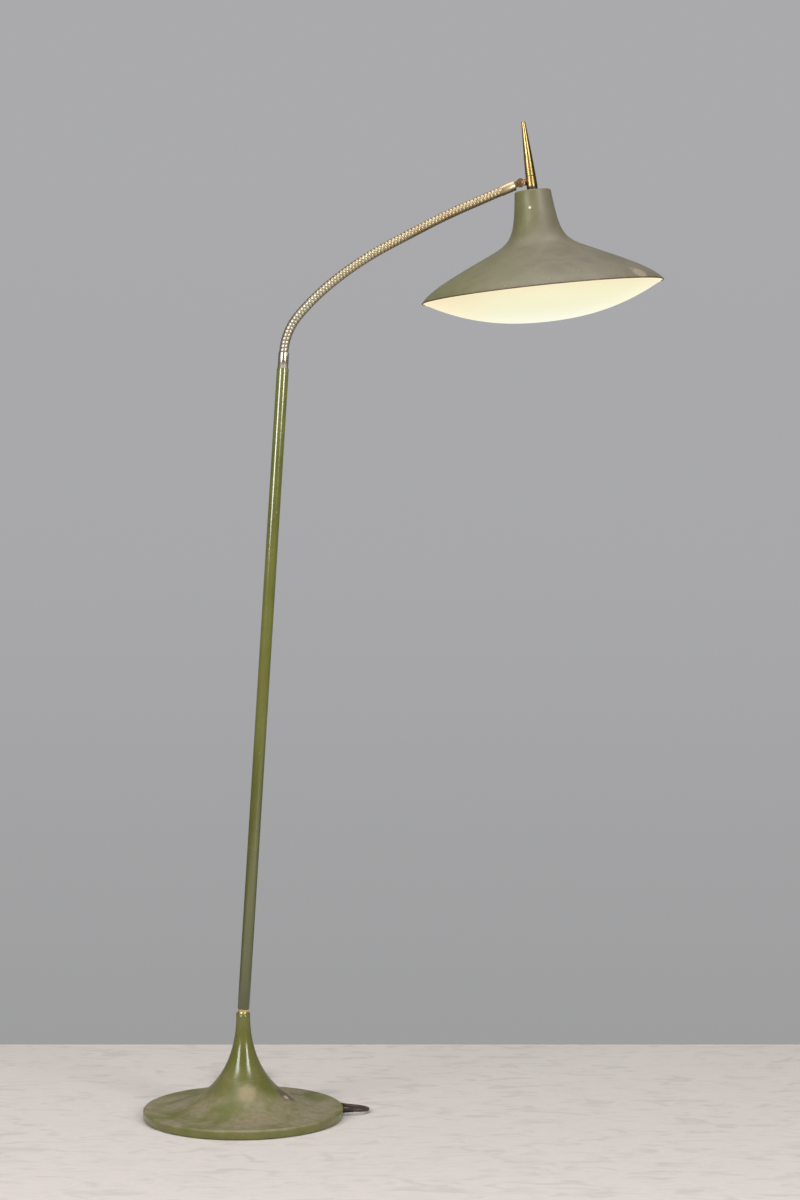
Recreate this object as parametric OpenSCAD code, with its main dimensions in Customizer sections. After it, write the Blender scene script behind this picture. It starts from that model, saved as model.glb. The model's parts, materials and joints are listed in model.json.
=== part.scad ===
// Adjustable arm floor lamp: weighted trumpet base, leaning post, gooseneck
// arm and a spun shade with a diffuser bowl. Millimetres, +Z up, origin at the
// centre of the base on the floor, the arm reaches towards +X.

/* [Base] */
// Diameter of the round base
base_d = 267; // [220:1:330]
// Height of the base's rim above the floor
rim_h = 13.5; // [12:0.5:20]
// Height of the trumpet's narrow top
neck_h = 140; // [110:1:180]
// Diameter of the trumpet's narrow top
neck_top_d = 18.6; // [18:0.1:24]
// Wall of the spun base shell
base_wall = 1.5; // [1:0.1:2]
// Rounding of the base's upper edge
lip_r = 3; // [2:0.5:4]
// Thickness of the felt pad under the base
felt_t = 2; // [1:0.5:3]
// Thickness of the steel plate under the weight
plate_t = 1.2; // [1:0.1:2]
// Height of the boss in the middle of the cast weight
boss_h = 46; // [36:1:60]

/* [Post] */
// Outer diameter of the post
post_d = 15.9; // [14:0.1:20]
// Wall of the post tube
post_wall = 1.2; // [1:0.1:1.6]
// Length of the post tube
post_len = 854; // [600:1:1100]
// Lean of the post towards the arm's side, in degrees
post_lean = 3.65; // [0:0.05:5]
// Outer diameter of the threaded tie rod
tie_d = 10.2; // [9:0.1:10.6]
// Bore of every piece that the lead passes through
lead_bore_d = 7; // [6.2:0.1:7.4]
// Height of the brass ring under the post
ring_h = 5.8; // [4:0.1:10]

/* [Gooseneck] */
// Outer diameter of the gooseneck hose
hose_d = 12.5; // [11:0.1:13]
// Length of one of the gooseneck's bending stretches
hose_step = 52.5; // [40:0.5:65]
// How far each end joint of the hose lets it bend, in degrees
hose_flex = 25; // [10:1:30]
// Outer diameter of the ferrules
ferrule_d = 14.2; // [14:0.1:15]
// Visible length of the lower ferrule
low_ferrule_len = 21; // [16:0.5:30]
// Length of the upper ferrule
top_ferrule_len = 20.5; // [16:0.5:30]

/* [Head] */
// Diameter of the shade's rim
shade_d = 320; // [270:1:400]
// Height of the shade from its rim to its cap
shade_h = 133.5; // [120:0.5:160]
// Outer diameter of the shade's neck at its cap
cap_d = 48.2; // [46:0.2:60]
// Wall of the spun shade
shade_wall = 1.2; // [1:0.1:1.6]
// Depth of the diffuser below the shade's rim
bowl_depth = 38.5; // [25:0.5:50]
// Wall of the diffuser
bowl_wall = 2; // [1.5:0.1:3]
// Diameter of the knob's foot
knob_d = 14.6; // [13:0.1:17]
// Diameter of the knob's tip
knob_tip_d = 5; // [3:0.1:6]
// Length of the hub and the knob together
knob_len = 86.5; // [70:0.5:110]
// Tilt of the shade away from level, in degrees
shade_tilt = 5.8; // [0:0.1:10]
// Tilt of the hub and the knob, in degrees
stem_tilt = 7.9; // [0:0.1:10]
// Diameter of the bulb's globe
bulb_d = 60; // [45:1:70]

/* [Cord] */
// Diameter of the supply cord
cord_d = 5; // [4.5:0.1:5.6]

/* [Hidden] */
$fn = 96;

// Colours
OLIVE = [0.44, 0.43, 0.25];
TAUPE = [0.55, 0.52, 0.43];
BRASS = [0.78, 0.62, 0.28];
NICKEL = [0.72, 0.69, 0.62];
STEEL = [0.6, 0.6, 0.62];
IRON = [0.25, 0.25, 0.26];
BLACK = [0.1, 0.1, 0.1];
BROWN = [0.2, 0.14, 0.1];
FELT = [0.2, 0.28, 0.2];
CREAM = [0.97, 0.94, 0.82];
WHITE = [0.92, 0.92, 0.9];

// Shared small sizes
eps = 0.01;            // overshoot of a cut past a face
part_gap = 0.35;       // air between pieces that move on each other
run_gap = 0.05;        // radial play of a shaft in its bearing
slip_gap = 0.25;       // radial play of a rod in a plain hole
past = 400;            // size of a block that cuts everything on one side

// ---- Base ----
base_r = base_d / 2;
neck_r = neck_top_d / 2;
flare_r = base_r - 14;
flare_z = rim_h - 1.3;
flare_power = 2.2;     // fullness of the trumpet's sweep
flare_steps = 20;
lip_steps = 5;
rim_foot = 0.8;        // the shell's lower edge stands just off the floor
weight_gap = 1.2;      // air between the weight and the shell
plate_top = felt_t + plate_t;
plate_r = base_r - base_wall - 1.5;
weight_r = plate_r - 0.5;
felt_r = plate_r - 1.5;
inner_neck_r = neck_r - base_wall;
lip_drop = 0.6;        // the lip's top edge lies just under the rim's height
screw_r = 2;
screw_head_r = 3.4;
screw_len = 9;
screw_ring_r = 0.62 * base_r;

function flare_point(a) = [
    neck_r + (flare_r - neck_r) * (1 - pow(cos(a), 2 / flare_power)),
    flare_z + (neck_h - flare_z) * (1 - pow(sin(a), 2 / flare_power))
];
function base_outline() = concat(
    [for (i = [0:flare_steps]) flare_point(90 * i / flare_steps)],
    [for (i = [0:lip_steps]) let (a = 90 - 90 * i / lip_steps)
        [base_r - lip_r + lip_r * cos(a), rim_h - lip_r - lip_drop + lip_r * sin(a)]],
    [[base_r, rim_foot]]
);
// Points of an outline moved square to it, to the right of its direction
function unit(v) = v / norm(v);
function along(p, i) =
    unit(p[min(i + 1, len(p) - 1)] - p[max(i - 1, 0)]);
function moved(p, t) = [
    for (i = [0:len(p) - 1]) let (d = along(p, i)) p[i] + t * [d[1], -d[0]]
];
function reversed(p) = [for (i = [len(p) - 1:-1:0]) p[i]];
module wall_of(p, t) {
    rotate_extrude() polygon(concat(p, reversed(moved(p, t))));
}

// ---- Post ----
post_r = post_d / 2;
post_bore_r = post_r - post_wall;
tie_r = tie_d / 2;
lead_r = cord_d / 2;
bore_r = lead_bore_d / 2;
ring_r = post_r - 0.45;
post_foot_len = 18;
post_cap_len = 16;
post_bottom = ring_h;
post_top = post_bottom + post_len;
nut_seat_z = 29;       // height of the tie nut's seat under the weight's boss
nut_depth = neck_h - nut_seat_z;
nut_af = 16;
nut_h = 6;
washer_r = 11;
washer_t = 1.5;
tie_low = -(nut_depth + nut_h + 1);
tie_high = post_bottom + post_foot_len;
bush_len = 14;
bush_bore_r = tie_r + slip_gap + bush_len * sin(post_lean);

module in_post_frame() {
    translate([0, 0, neck_h]) rotate([0, post_lean, 0]) children();
}
module tube(r_out, r_in, low, high) {
    translate([0, 0, low]) difference() {
        cylinder(r = r_out, h = high - low);
        translate([0, 0, -eps]) cylinder(r = r_in, h = high - low + 2 * eps);
    }
}
module hex_nut(af, r_in, low, high) {
    translate([0, 0, low]) difference() {
        cylinder(r = af / (2 * cos(30)), h = high - low, $fn = 6);
        translate([0, 0, -eps]) cylinder(r = r_in, h = high - low + 2 * eps);
    }
}

// ---- Gooseneck ----
BENDS = [36, 10, 7, 6, 0, 4, 0];   // rest bend of each stretch, in degrees
hose_r = hose_d / 2;
hose_bore_r = bore_r - 0.2;
hose_tail = 10;        // hose held inside each ferrule
ferrule_r = ferrule_d / 2;
top_ferrule_r = ferrule_r - 0.4;
shank_r = 4.9;
shank_len = 12;
hose_start = [
    (post_top + low_ferrule_len) * sin(post_lean),
    neck_h + (post_top + low_ferrule_len) * cos(post_lean)
];
function rad(a) = a * PI / 180;
function bend_before(k) = k == 0 ? 0 : BENDS[k - 1] + bend_before(k - 1);
function hose_dir(k) = 90 - post_lean - bend_before(k);
function arc_move(a, b) = b == 0
    ? hose_step * [cos(a), sin(a)]
    : hose_step / rad(b) * [sin(a) - sin(a - b), cos(a - b) - cos(a)];
function hose_at(k) =
    k == 0 ? hose_start : hose_at(k - 1) + arc_move(hose_dir(k - 1), BENDS[k - 1]);
last = len(BENDS);
arm_dir = hose_dir(last);
arm_end = hose_at(last);

// Local +Z runs along the hose at the start of stretch k, local +X on its
// inner side, where it bends to
module at_hose(k) {
    translate([hose_at(k)[0], 0, hose_at(k)[1]]) rotate([0, 90 - hose_dir(k), 0]) children();
}
module hose_body(b, r_out, r_in) {
    if (b == 0) tube(r_out, r_in, 0, hose_step);
    else translate([hose_step / rad(b), 0, 0]) rotate([90, 0, 180])
        rotate_extrude(angle = b) translate([hose_step / rad(b), 0]) difference() {
            circle(r = r_out);
            circle(r = r_in);
        }
}
// What a joint's end face is cut back by, so that two stretches clear each
// other when they bend
module end_relief() {
    far = 2 * hose_r;
    rotate_extrude() polygon([[0, -1], [far, -1], [far, far * tan(hose_flex / 2 + 1)], [0, 0]]);
}
module hose_stretch(k) {
    difference() {
        union() {
            at_hose(k) hose_body(BENDS[k], hose_r, hose_bore_r);
            if (k == 0) at_hose(k) tube(hose_r, hose_bore_r, -hose_tail, eps);
            if (k == last - 1) at_hose(last) tube(hose_r, hose_bore_r, -eps, hose_tail);
        }
        if (k > 0) at_hose(k) end_relief();
        if (k < last - 1) at_hose(k + 1) mirror([0, 0, 1]) end_relief();
    }
}

// ---- Swivel and head ----
swivel_r = 5.6;
swivel_half_t = 5.4;   // thickness of one swivel half
swivel_reach = 14.4;   // from the pivot to the stem's axis
pivot_step = 28.6;     // from the hose's end to the pivot
swivel_stub_r = 3;
pivot_screw_r = 1.75;
pivot_head_r = 3.4;
pivot_head_t = 1.6;
stub_s = 12;           // height of the swivel's stub on the stem
stub_depth = 5;        // how far a swivel's stub goes into the ferrule
stub_start = swivel_r + 0.7;
hub_stub_in = 3.4;     // where the head's stub ends, from the stem's axis
lug_half_h = 4;
lug_len = swivel_r + 1.2;
lug_root = 1;          // how far the lug goes on into the piece it joins
ferrule_end = pivot_step - top_ferrule_len;
pivot_nut_t = 2.4;
pivot_nut_af = 6.6;
pivot_nut_low = 1.5 * part_gap + swivel_half_t;
pivot = arm_end + pivot_step * [cos(arm_dir), sin(arm_dir)];
head = pivot + swivel_reach * [cos(stem_tilt), sin(stem_tilt)]
    - stub_s * [-sin(stem_tilt), cos(stem_tilt)];
gasket_t = 1.6;
seat_t = 3;
hub_low = gasket_t + seat_t;
hub_high = hub_low + 14;
knob_low = hub_high + part_gap;
knob_r = knob_d / 2;
knob_tip_r = knob_tip_d / 2;
knob_high = hub_low + knob_len;
knob_steps = 14;
knob_bow = 1.3;        // how late the knob's taper sets in
tip_round = 1.2;
shaft_r = 1.6;
shaft_depth = 16;      // how far the shaft goes up into the knob
set_screw_s = knob_low + 8;
set_screw_r = 1.5;
set_screw_sunk = 0.5;
nipple_low = -13;
nipple_high = hub_low + 7;
cap_nut_h = 4;
shim_t = 0.8;
under_cap = -shade_wall - shim_t;

// Radius of the hub and the knob at height s on the stem
function taper(s) = knob_r
    - (knob_r - knob_tip_r) * pow((s - hub_low) / knob_len, knob_bow);

module in_stem_frame() {
    translate([head[0], 0, head[1]]) rotate([0, -stem_tilt, 0]) children();
}
module in_shade_frame() {
    translate([head[0], 0, head[1]]) rotate([0, -shade_tilt, 0]) children();
}
module in_arm_frame() {
    translate([pivot[0], 0, pivot[1]]) rotate([0, -arm_dir, 0]) children();
}
module in_pivot_stem_frame() {
    translate([pivot[0], 0, pivot[1]]) rotate([0, -stem_tilt, 0]) children();
}
// Everything below (or above) a height, as a block to cut with
module below(z) {
    translate([-past / 2, -past / 2, z - past]) cube(past);
}
module above(z) {
    translate([-past / 2, -past / 2, z]) cube(past);
}

// ---- Shade and diffuser ----
rim_r = shade_d / 2;
cap_r = cap_d / 2;
cap_round = 3;
curve_steps = 11;
// The waist is where the neck's flare becomes the skirt
waist_r = cap_r + 0.279 * (rim_r - cap_r);
waist_h = 0.412 * shade_h;
function bezier(p, t) = pow(1 - t, 3) * p[0] + 3 * pow(1 - t, 2) * t * p[1]
    + 3 * (1 - t) * t * t * p[2] + pow(t, 3) * p[3];
neck_curve = [
    [cap_r, -cap_round], [cap_r + 0.042 * (rim_r - cap_r), -0.417 * shade_h],
    [waist_r - 0.213 * (rim_r - cap_r), waist_h + 0.1 * shade_h - shade_h],
    [waist_r, waist_h - shade_h]
];
skirt_curve = [
    [waist_r, waist_h - shade_h],
    [waist_r + 0.306 * (rim_r - cap_r), 0.268 * shade_h - shade_h],
    [rim_r - 0.087 * (rim_r - cap_r), 0.129 * shade_h - shade_h],
    [rim_r, -shade_h]
];
function shade_outline() = concat(
    [for (i = [0:4]) let (a = 90 - 22.5 * i)
        [cap_r - cap_round + cap_round * cos(a), -cap_round + cap_round * sin(a)]],
    [for (i = [1:curve_steps]) bezier(neck_curve, i / curve_steps)],
    [for (i = [1:curve_steps]) bezier(skirt_curve, i / curve_steps)]
);
cap_hole_r = tie_r + slip_gap;
bowl_r = rim_r - 3;            // the bowl's edge, just inside the shade's rim
bowl_top = -shade_h - 0.4;
bowl_power = 2.3;
bowl_steps = 16;
collar_r = rim_r - 17;         // outside of the collar that the clips hold
collar_h = 7.5;
clip_count = 3;
clip_w = 10;
clip_t = 0.6;
clip_gap = 0.4;
clip_r = collar_r - bowl_wall - clip_gap;
function bowl_z(r) = bowl_top - bowl_depth * (1 - pow(r / bowl_r, bowl_power));
collar_low = bowl_z(collar_r) + bowl_wall / 2;
function bowl_outline() = [
    for (i = [0:bowl_steps]) let (x = i / bowl_steps)
        [bowl_r * (1 - x), bowl_z(bowl_r * (1 - x))]
];

// ---- Socket and bulb ----
socket_r = 16;
socket_wall = 0.8;
socket_top = nipple_low + 4;
cap_bottom = socket_top - 15;
switch_r = 11;
switch_low = cap_bottom + 1.2;
shell_low = cap_bottom - 28;
screw_bore_r = 13.3;
screw_wall = 0.5;
contact_top = cap_bottom - 6;
contact_h = 1.4;
bulb_top = contact_top - contact_h;
bulb_base_r = 13;
bulb_base_h = 25;
globe_r = bulb_d / 2;
globe_s = bulb_top - 71;

// ---- Cord ----
cord_r = cord_d / 2;
exit_turn = 4;         // where on the rim the cord leaves, from +X towards +Y
exit_z = 7;
relief_out = 14;
relief_in = 10;
relief_root_r = 3.4;
relief_tip_r = 3;
taper_start = 2;       // where the relief's taper begins, outside the wall
wall_hole_r = relief_root_r + 0.1;
channel_half = relief_root_r + 0.6;    // half the width of the weight's channel for the lead
// Corner of the cord's way in the base, under the tie rod
lead_turn_z = exit_z;
tie_foot_x = -(neck_h - lead_turn_z) * tan(post_lean);
relief_tip = (base_r + relief_out) * [cos(exit_turn), sin(exit_turn)];
hank_run = 75;
hank_turn_r = 27.5;
hank_lift = 0.8;
hank_h = 15;
base_growth = base_r - 133.5;          // the cord lies this much further out
hank_x = -15;
hank_y = 203 + base_growth;
hank_turn = 3;
tie_w = 12;
cord_low = cord_r + 0.1;
SUPPLY_ROUTE = [
    [152, 10.6, exit_z], [159, 14, 6.3], [164, 22, 5], [165.5, 32, 3.6],
    [162, 42, cord_low], [154, 49, cord_low], [143, 54, cord_low], [130, 61, cord_low],
    [119, 74, cord_low], [106, 91, cord_low], [92, 106, cord_low], [76, 119, cord_low],
    [58, 130, cord_low], [40, 139, cord_low], [26, 149, cord_low], [17.5, 161, 2.8],
    [14, 175, 3.3]
];
TAIL_ROUTE = [
    [0.5, 256, 12.6], [-2.5, 267, 11], [-7.5, 278, 8.4], [-12.5, 288, 6.6], [-15.8, 296, 6],
    [-17.3, 301.5, 6]
];
// The supply's points move out from the base, the tail's with the hank
function route_turn(p) = min(90, 1.08 * atan2(p[1], p[0]));
supply_route = [
    for (p = SUPPLY_ROUTE) p + base_growth * [cos(route_turn(p)), sin(route_turn(p)), 0]
];
tail_route = [for (p = TAIL_ROUTE) p + [0, base_growth, 0]];
plug_x = -18;
plug_y = 308 + base_growth;
plug_turn = 6;
plug_len = 30;
plug_w = 24;
plug_t = 12;
plug_neck_w = 11;
pin_len = 17;
pin_w = 6.3;
pin_t = 1.5;
pin_pitch = 12.7;
cord_sides = 10;

// A tube of straight stretches along a route, its rings turned by the
// reference direction
function square_to(t, ref) = unit(cross(t, ref));
function ring_at(p, i, r, ref) =
    let (t = along(p, i), u = square_to(t, ref), v = cross(u, t))
    [for (j = [0:cord_sides - 1]) let (a = 360 * j / cord_sides)
        p[i] + r * (cos(a) * u + sin(a) * v)];
module swept(p, r, ref) {
    n = cord_sides;
    rings = [for (i = [0:len(p) - 1]) each ring_at(p, i, r, ref)];
    sides = [for (i = [0:len(p) - 2], j = [0:n - 1])
        [i * n + j, i * n + (j + 1) % n, (i + 1) * n + (j + 1) % n, (i + 1) * n + j]];
    ends = [[for (j = [n - 1:-1:0]) j], [for (j = [0:n - 1]) (len(p) - 1) * n + j]];
    polyhedron(points = rings, faces = concat(sides, ends));
}

// ================= Base =================
module exit_frame() {
    rotate([0, 0, exit_turn]) translate([base_r, 0, exit_z]) rotate([0, 90, 0]) children();
}
module base_shell() {
    color(OLIVE) difference() {
        wall_of(base_outline(), base_wall);
        exit_frame() translate([0, 0, -3 * base_wall])
            cylinder(r = wall_hole_r, h = 6 * base_wall);
    }
}
module base_weight() {
    inside = moved(base_outline(), base_wall + weight_gap);
    top = [for (p = inside) if (p[0] < weight_r && p[1] < boss_h) p];
    boss_r = top[0][0];
    color(IRON) difference() {
        rotate_extrude() polygon(concat(
            [[0, plate_top], [0, top[0][1]]], top, [[weight_r, plate_top]]
        ));
        in_post_frame() {
            translate([0, 0, -neck_h - boss_h]) {
                cylinder(r = tie_r + slip_gap, h = 2 * neck_h);
                cylinder(r = washer_r + 1, h = neck_h + boss_h - nut_depth);
            }
        }
        rotate([0, 0, exit_turn]) translate([-nut_af, -channel_half, plate_top - 1])
            cube([base_r + nut_af, 2 * channel_half, exit_z + channel_half + 1 - plate_top]);
        plate_screw_places() cylinder(r = screw_r, h = screw_len + plate_top);
    }
}
module bottom_plate() {
    color(STEEL) difference() {
        translate([0, 0, felt_t]) cylinder(r = plate_r, h = plate_t);
        plate_screw_places() translate([0, 0, felt_t]) screw_solid();
    }
}
module felt_pad() {
    color(FELT) cylinder(r = felt_r, h = felt_t);
}
module plate_screw_places() {
    for (a = [60, 180, 300]) rotate([0, 0, a]) translate([screw_ring_r, 0, 0]) children();
}
module screw_solid() {
    cylinder(r1 = screw_head_r, r2 = screw_r, h = plate_t);
    cylinder(r = screw_r, h = screw_len);
}
module plate_screws() {
    color(STEEL) plate_screw_places() translate([0, 0, felt_t]) screw_solid();
}
module tie_rod() {
    color(STEEL) in_post_frame() tube(tie_r, bore_r, tie_low, tie_high);
}
module tie_washer() {
    color(STEEL) in_post_frame() tube(washer_r, tie_r, -nut_depth - washer_t, -nut_depth);
}
module tie_nut() {
    color(STEEL) in_post_frame()
        hex_nut(nut_af, tie_r, -nut_depth - nut_h, -nut_depth - washer_t);
}
module neck_bush() {
    color(STEEL) tube(inner_neck_r, bush_bore_r, neck_h - bush_len, neck_h);
}
module brass_ring() {
    color(BRASS) difference() {
        in_post_frame() tube(ring_r, tie_r, -2, ring_h);
        below(neck_h);
    }
}

// ================= Post =================
module post_foot() {
    color(BRASS) in_post_frame() tube(post_bore_r, tie_r, post_bottom, tie_high);
}
module post_tube() {
    color(OLIVE) in_post_frame() tube(post_r, post_bore_r, post_bottom, post_top);
}
module post_cap() {
    color(BRASS) in_post_frame()
        tube(post_bore_r, shank_r, post_top - post_cap_len, post_top);
}
module lower_ferrule() {
    color(NICKEL) in_post_frame() {
        difference() {
            union() {
                tube(ferrule_r, bore_r, post_top, post_top + low_ferrule_len);
                tube(shank_r, bore_r, post_top - shank_len, post_top + 1);
            }
            translate([0, 0, post_top + low_ferrule_len - hose_tail])
                cylinder(r = hose_r, h = 2 * hose_tail);
        }
    }
}

// ================= Cord =================
module base_lead() {
    low = [tie_foot_x, 0, lead_turn_z];
    start = [relief_tip[0], relief_tip[1], exit_z];
    exit_dir = [cos(exit_turn), sin(exit_turn), 0];
    wall_end = start - (relief_out + relief_in) * exit_dir;
    inward_dir = unit(low - wall_end);
    up = [sin(post_lean), 0, cos(post_lean)];
    bend = 14;
    route = concat(
        [start, start - relief_out * exit_dir, wall_end],
        [wall_end + base_r / 3 * inward_dir],
        [for (t = [0:0.2:1]) low - bend * pow(1 - t, 2) * inward_dir + bend * pow(t, 2) * up],
        [for (h = [60, neck_h, neck_h + post_len / 2, neck_h + post_top]) low + h * up]
    );
    color(BROWN) swept(route, lead_r, [0, 1, 0]);
}
module cord_relief() {
    color(BLACK) exit_frame() difference() {
        union() {
            translate([0, 0, -relief_in])
                cylinder(r = relief_root_r, h = relief_in + taper_start);
            translate([0, 0, taper_start])
                cylinder(r1 = relief_root_r, r2 = relief_tip_r, h = relief_out - taper_start);
            translate([0, 0, eps]) cylinder(r = relief_root_r + 0.9, h = 1.6);
        }
        translate([0, 0, -relief_in - eps])
            cylinder(r = lead_r + run_gap, h = relief_in + relief_out + 2 * eps);
    }
}
module supply_cord() {
    start = [relief_tip[0], relief_tip[1], exit_z];
    color(BROWN) swept(concat([start], supply_route), cord_r, [0, 0, 1]);
}
module hank_frame() {
    translate([hank_x, hank_y, 0]) rotate([0, 0, hank_turn]) children();
}
module cord_hank() {
    color(BROWN) hank_frame() translate([0, 0, hank_lift]) linear_extrude(height = hank_h) {
        square([2 * hank_turn_r, hank_run], center = true);
        for (s = [-1, 1]) translate([0, s * hank_run / 2]) circle(r = hank_turn_r);
    }
}
module hank_tie() {
    outer_w = 2 * hank_turn_r + 2 * hank_lift;
    color(BLACK) hank_frame() translate([0, tie_w / 2, 0]) rotate([90, 0, 0])
        linear_extrude(height = tie_w) difference() {
            translate([-outer_w / 2, 0]) square([outer_w, hank_h + 2 * hank_lift]);
            translate([-hank_turn_r, hank_lift]) square([2 * hank_turn_r, hank_h]);
        }
}
module plug_frame() {
    translate([plug_x, plug_y, plug_t / 2]) rotate([0, 0, plug_turn]) children();
}
module cord_tail() {
    color(BROWN) swept(concat(tail_route, [[plug_x, plug_y, plug_t / 2]]), cord_r, [0, 0, 1]);
}
module plug_body() {
    outline = [
        [-plug_neck_w / 2, 0], [-plug_w / 2, 0.45 * plug_len], [-plug_w / 2, plug_len],
        [plug_w / 2, plug_len], [plug_w / 2, 0.45 * plug_len], [plug_neck_w / 2, 0]
    ];
    color(BROWN) plug_frame() translate([0, 0, -plug_t / 2]) linear_extrude(height = plug_t)
        polygon(outline);
}
module plug_pins() {
    color(BRASS) plug_frame() for (s = [-1, 1])
        translate([s * pin_pitch / 2 - pin_t / 2, plug_len, -pin_w / 2])
            cube([pin_t, pin_len, pin_w]);
}

// ================= Arm tip =================
module upper_ferrule() {
    color(NICKEL) at_hose(last) difference() {
        cylinder(r = top_ferrule_r, h = top_ferrule_len);
        translate([0, 0, -eps]) cylinder(r = hose_r, h = hose_tail + eps);
        cylinder(r = bore_r - 1, h = top_ferrule_len);
        translate([0, 0, top_ferrule_len - stub_depth]) cylinder(r = swivel_stub_r, h = 2 * stub_depth);
    }
}
// One half of the swivel: a round cheek on one side of the pivot, with a lug
// and a stub along local +X
module swivel_half(stub_end, hole_r) {
    cheek = part_gap / 2;
    difference() {
        union() {
            translate([0, cheek, 0]) rotate([-90, 0, 0])
                cylinder(r = swivel_r, h = swivel_half_t);
            translate([0, cheek, -lug_half_h])
                cube([lug_len + lug_root, swivel_half_t, 2 * lug_half_h]);
            translate([stub_start, 0, 0]) rotate([0, 90, 0])
                cylinder(r = swivel_stub_r, h = stub_end - stub_start);
        }
        rotate([-90, 0, 0]) cylinder(r = hole_r, h = swivel_half_t + 1);
    }
}
module swivel_arm_half() {
    color(BRASS) in_arm_frame() rotate([0, 0, 180]) difference() {
        swivel_half(ferrule_end + stub_depth, pivot_screw_r);
        translate([ferrule_end, -past / 2, swivel_stub_r]) cube(past);
        translate([ferrule_end, -past / 2, -swivel_stub_r - past]) cube(past);
        translate([ferrule_end, swivel_stub_r, -past / 2]) cube(past);
    }
}
module swivel_screw() {
    color(STEEL) in_arm_frame() rotate([90, 0, 0]) {
        translate([0, 0, -pivot_nut_low - pivot_nut_t])
            cylinder(r = pivot_screw_r, h = pivot_nut_low + pivot_nut_t + swivel_half_t + part_gap / 2);
        translate([0, 0, swivel_half_t + part_gap / 2]) cylinder(r = pivot_head_r, h = pivot_head_t);
    }
}
module swivel_nut() {
    color(STEEL) in_arm_frame() rotate([-90, 0, 0])
        hex_nut(pivot_nut_af, pivot_screw_r, pivot_nut_low, pivot_nut_low + pivot_nut_t);
}

// ================= Head =================
module swivel_head_half() {
    color(BRASS) difference() {
        in_pivot_stem_frame() swivel_half(swivel_reach - hub_stub_in, pivot_screw_r + run_gap);
        in_stem_frame() cylinder(r = tie_r, h = nipple_high);
    }
}
module hub() {
    color(BRASS) difference() {
        in_stem_frame() rotate_extrude() polygon(concat(
            [[0, hub_low]],
            [for (i = [0:4]) let (s = hub_low + (hub_high - hub_low) * i / 4) [taper(s), s]],
            [[0, hub_high]]
        ));
        in_stem_frame() {
            translate([0, 0, hub_low - eps]) cylinder(r = tie_r, h = nipple_high - hub_low + eps);
            cylinder(r = shaft_r + run_gap, h = hub_high + eps);
        }
        in_pivot_stem_frame() {
            rotate([0, 90, 0]) cylinder(r = swivel_stub_r, h = swivel_reach - hub_stub_in);
            translate([0, part_gap / 2 - eps, -lug_half_h - eps])
                cube([lug_len + lug_root + eps, swivel_half_t + 2 * eps, 2 * (lug_half_h + eps)]);
        }
    }
}
module seat_washer() {
    color(BLACK) in_stem_frame() tube(taper(hub_low) - 0.2, tie_r, gasket_t, hub_low);
}
module cap_gasket() {
    color(BLACK) difference() {
        in_stem_frame() tube(knob_r + 0.4, tie_r, -1, gasket_t);
        in_shade_frame() below(0);
    }
}
module shade() {
    outline = shade_outline();
    inner = moved(outline, shade_wall);
    color(TAUPE) in_shade_frame() difference() {
        union() {
            rotate_extrude() polygon(concat(outline, reversed(inner)));
            translate([0, 0, -shade_wall]) cylinder(r = cap_r - cap_round + eps, h = shade_wall);
        }
        translate([0, 0, -2 * shade_wall]) cylinder(r = cap_hole_r, h = 3 * shade_wall);
    }
}
module cap_shim() {
    color(STEEL) difference() {
        in_stem_frame() tube(knob_r + 1.5, tie_r, under_cap, 0);
        in_shade_frame() above(-shade_wall);
    }
}
module cap_nut() {
    color(STEEL) in_stem_frame() hex_nut(nut_af - 2, tie_r, under_cap - cap_nut_h, under_cap);
}
module stem_nipple() {
    color(STEEL) in_stem_frame() difference() {
        tube(tie_r, bore_r - 0.5, nipple_low, nipple_high);
        translate([-past, -past / 2, stub_s - swivel_stub_r - 1]) cube([past - 2, past, past]);
    }
}
module socket_cap() {
    color(BRASS) in_stem_frame() difference() {
        translate([0, 0, cap_bottom]) cylinder(r = socket_r, h = socket_top - cap_bottom);
        translate([0, 0, cap_bottom - eps])
            cylinder(r = socket_r - socket_wall, h = nipple_low - cap_bottom + 1 + eps);
        cylinder(r = tie_r, h = 4 * socket_r, center = true);
    }
}
module rotary_switch() {
    color(BLACK) in_stem_frame() difference() {
        translate([0, 0, switch_low]) cylinder(r = switch_r, h = nipple_low - switch_low);
        translate([0, 0, switch_low + 2])
            cylinder(r = shaft_r + run_gap, h = nipple_low - switch_low);
    }
}
module socket_insulator() {
    high = cap_bottom - 0.4;
    color(CREAM) in_stem_frame() {
        translate([0, 0, contact_top]) cylinder(r = screw_bore_r, h = high - contact_top);
        tube(socket_r - socket_wall, screw_bore_r + screw_wall, shell_low + 2, high);
        tube(screw_bore_r + screw_wall + eps, screw_bore_r - 2, contact_top, high);
    }
}
module socket_shell() {
    color(BRASS) in_stem_frame() tube(socket_r, socket_r - socket_wall, shell_low, cap_bottom);
}
module screw_shell() {
    color(BRASS) in_stem_frame()
        tube(screw_bore_r + screw_wall, screw_bore_r, shell_low + 4, contact_top);
}
module centre_contact() {
    color(BRASS) in_stem_frame() translate([0, 0, bulb_top]) cylinder(r = 4, h = contact_h);
}
module bulb_base() {
    color(STEEL) in_stem_frame() difference() {
        union() {
            translate([0, 0, bulb_top - bulb_base_h]) cylinder(r = bulb_base_r, h = bulb_base_h - 3);
            translate([0, 0, bulb_top - 3]) cylinder(r1 = bulb_base_r, r2 = 5, h = 3);
        }
        translate([0, 0, bulb_top - bulb_base_h - eps]) cylinder(r = bulb_base_r - 0.6, h = 6);
    }
}
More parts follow.
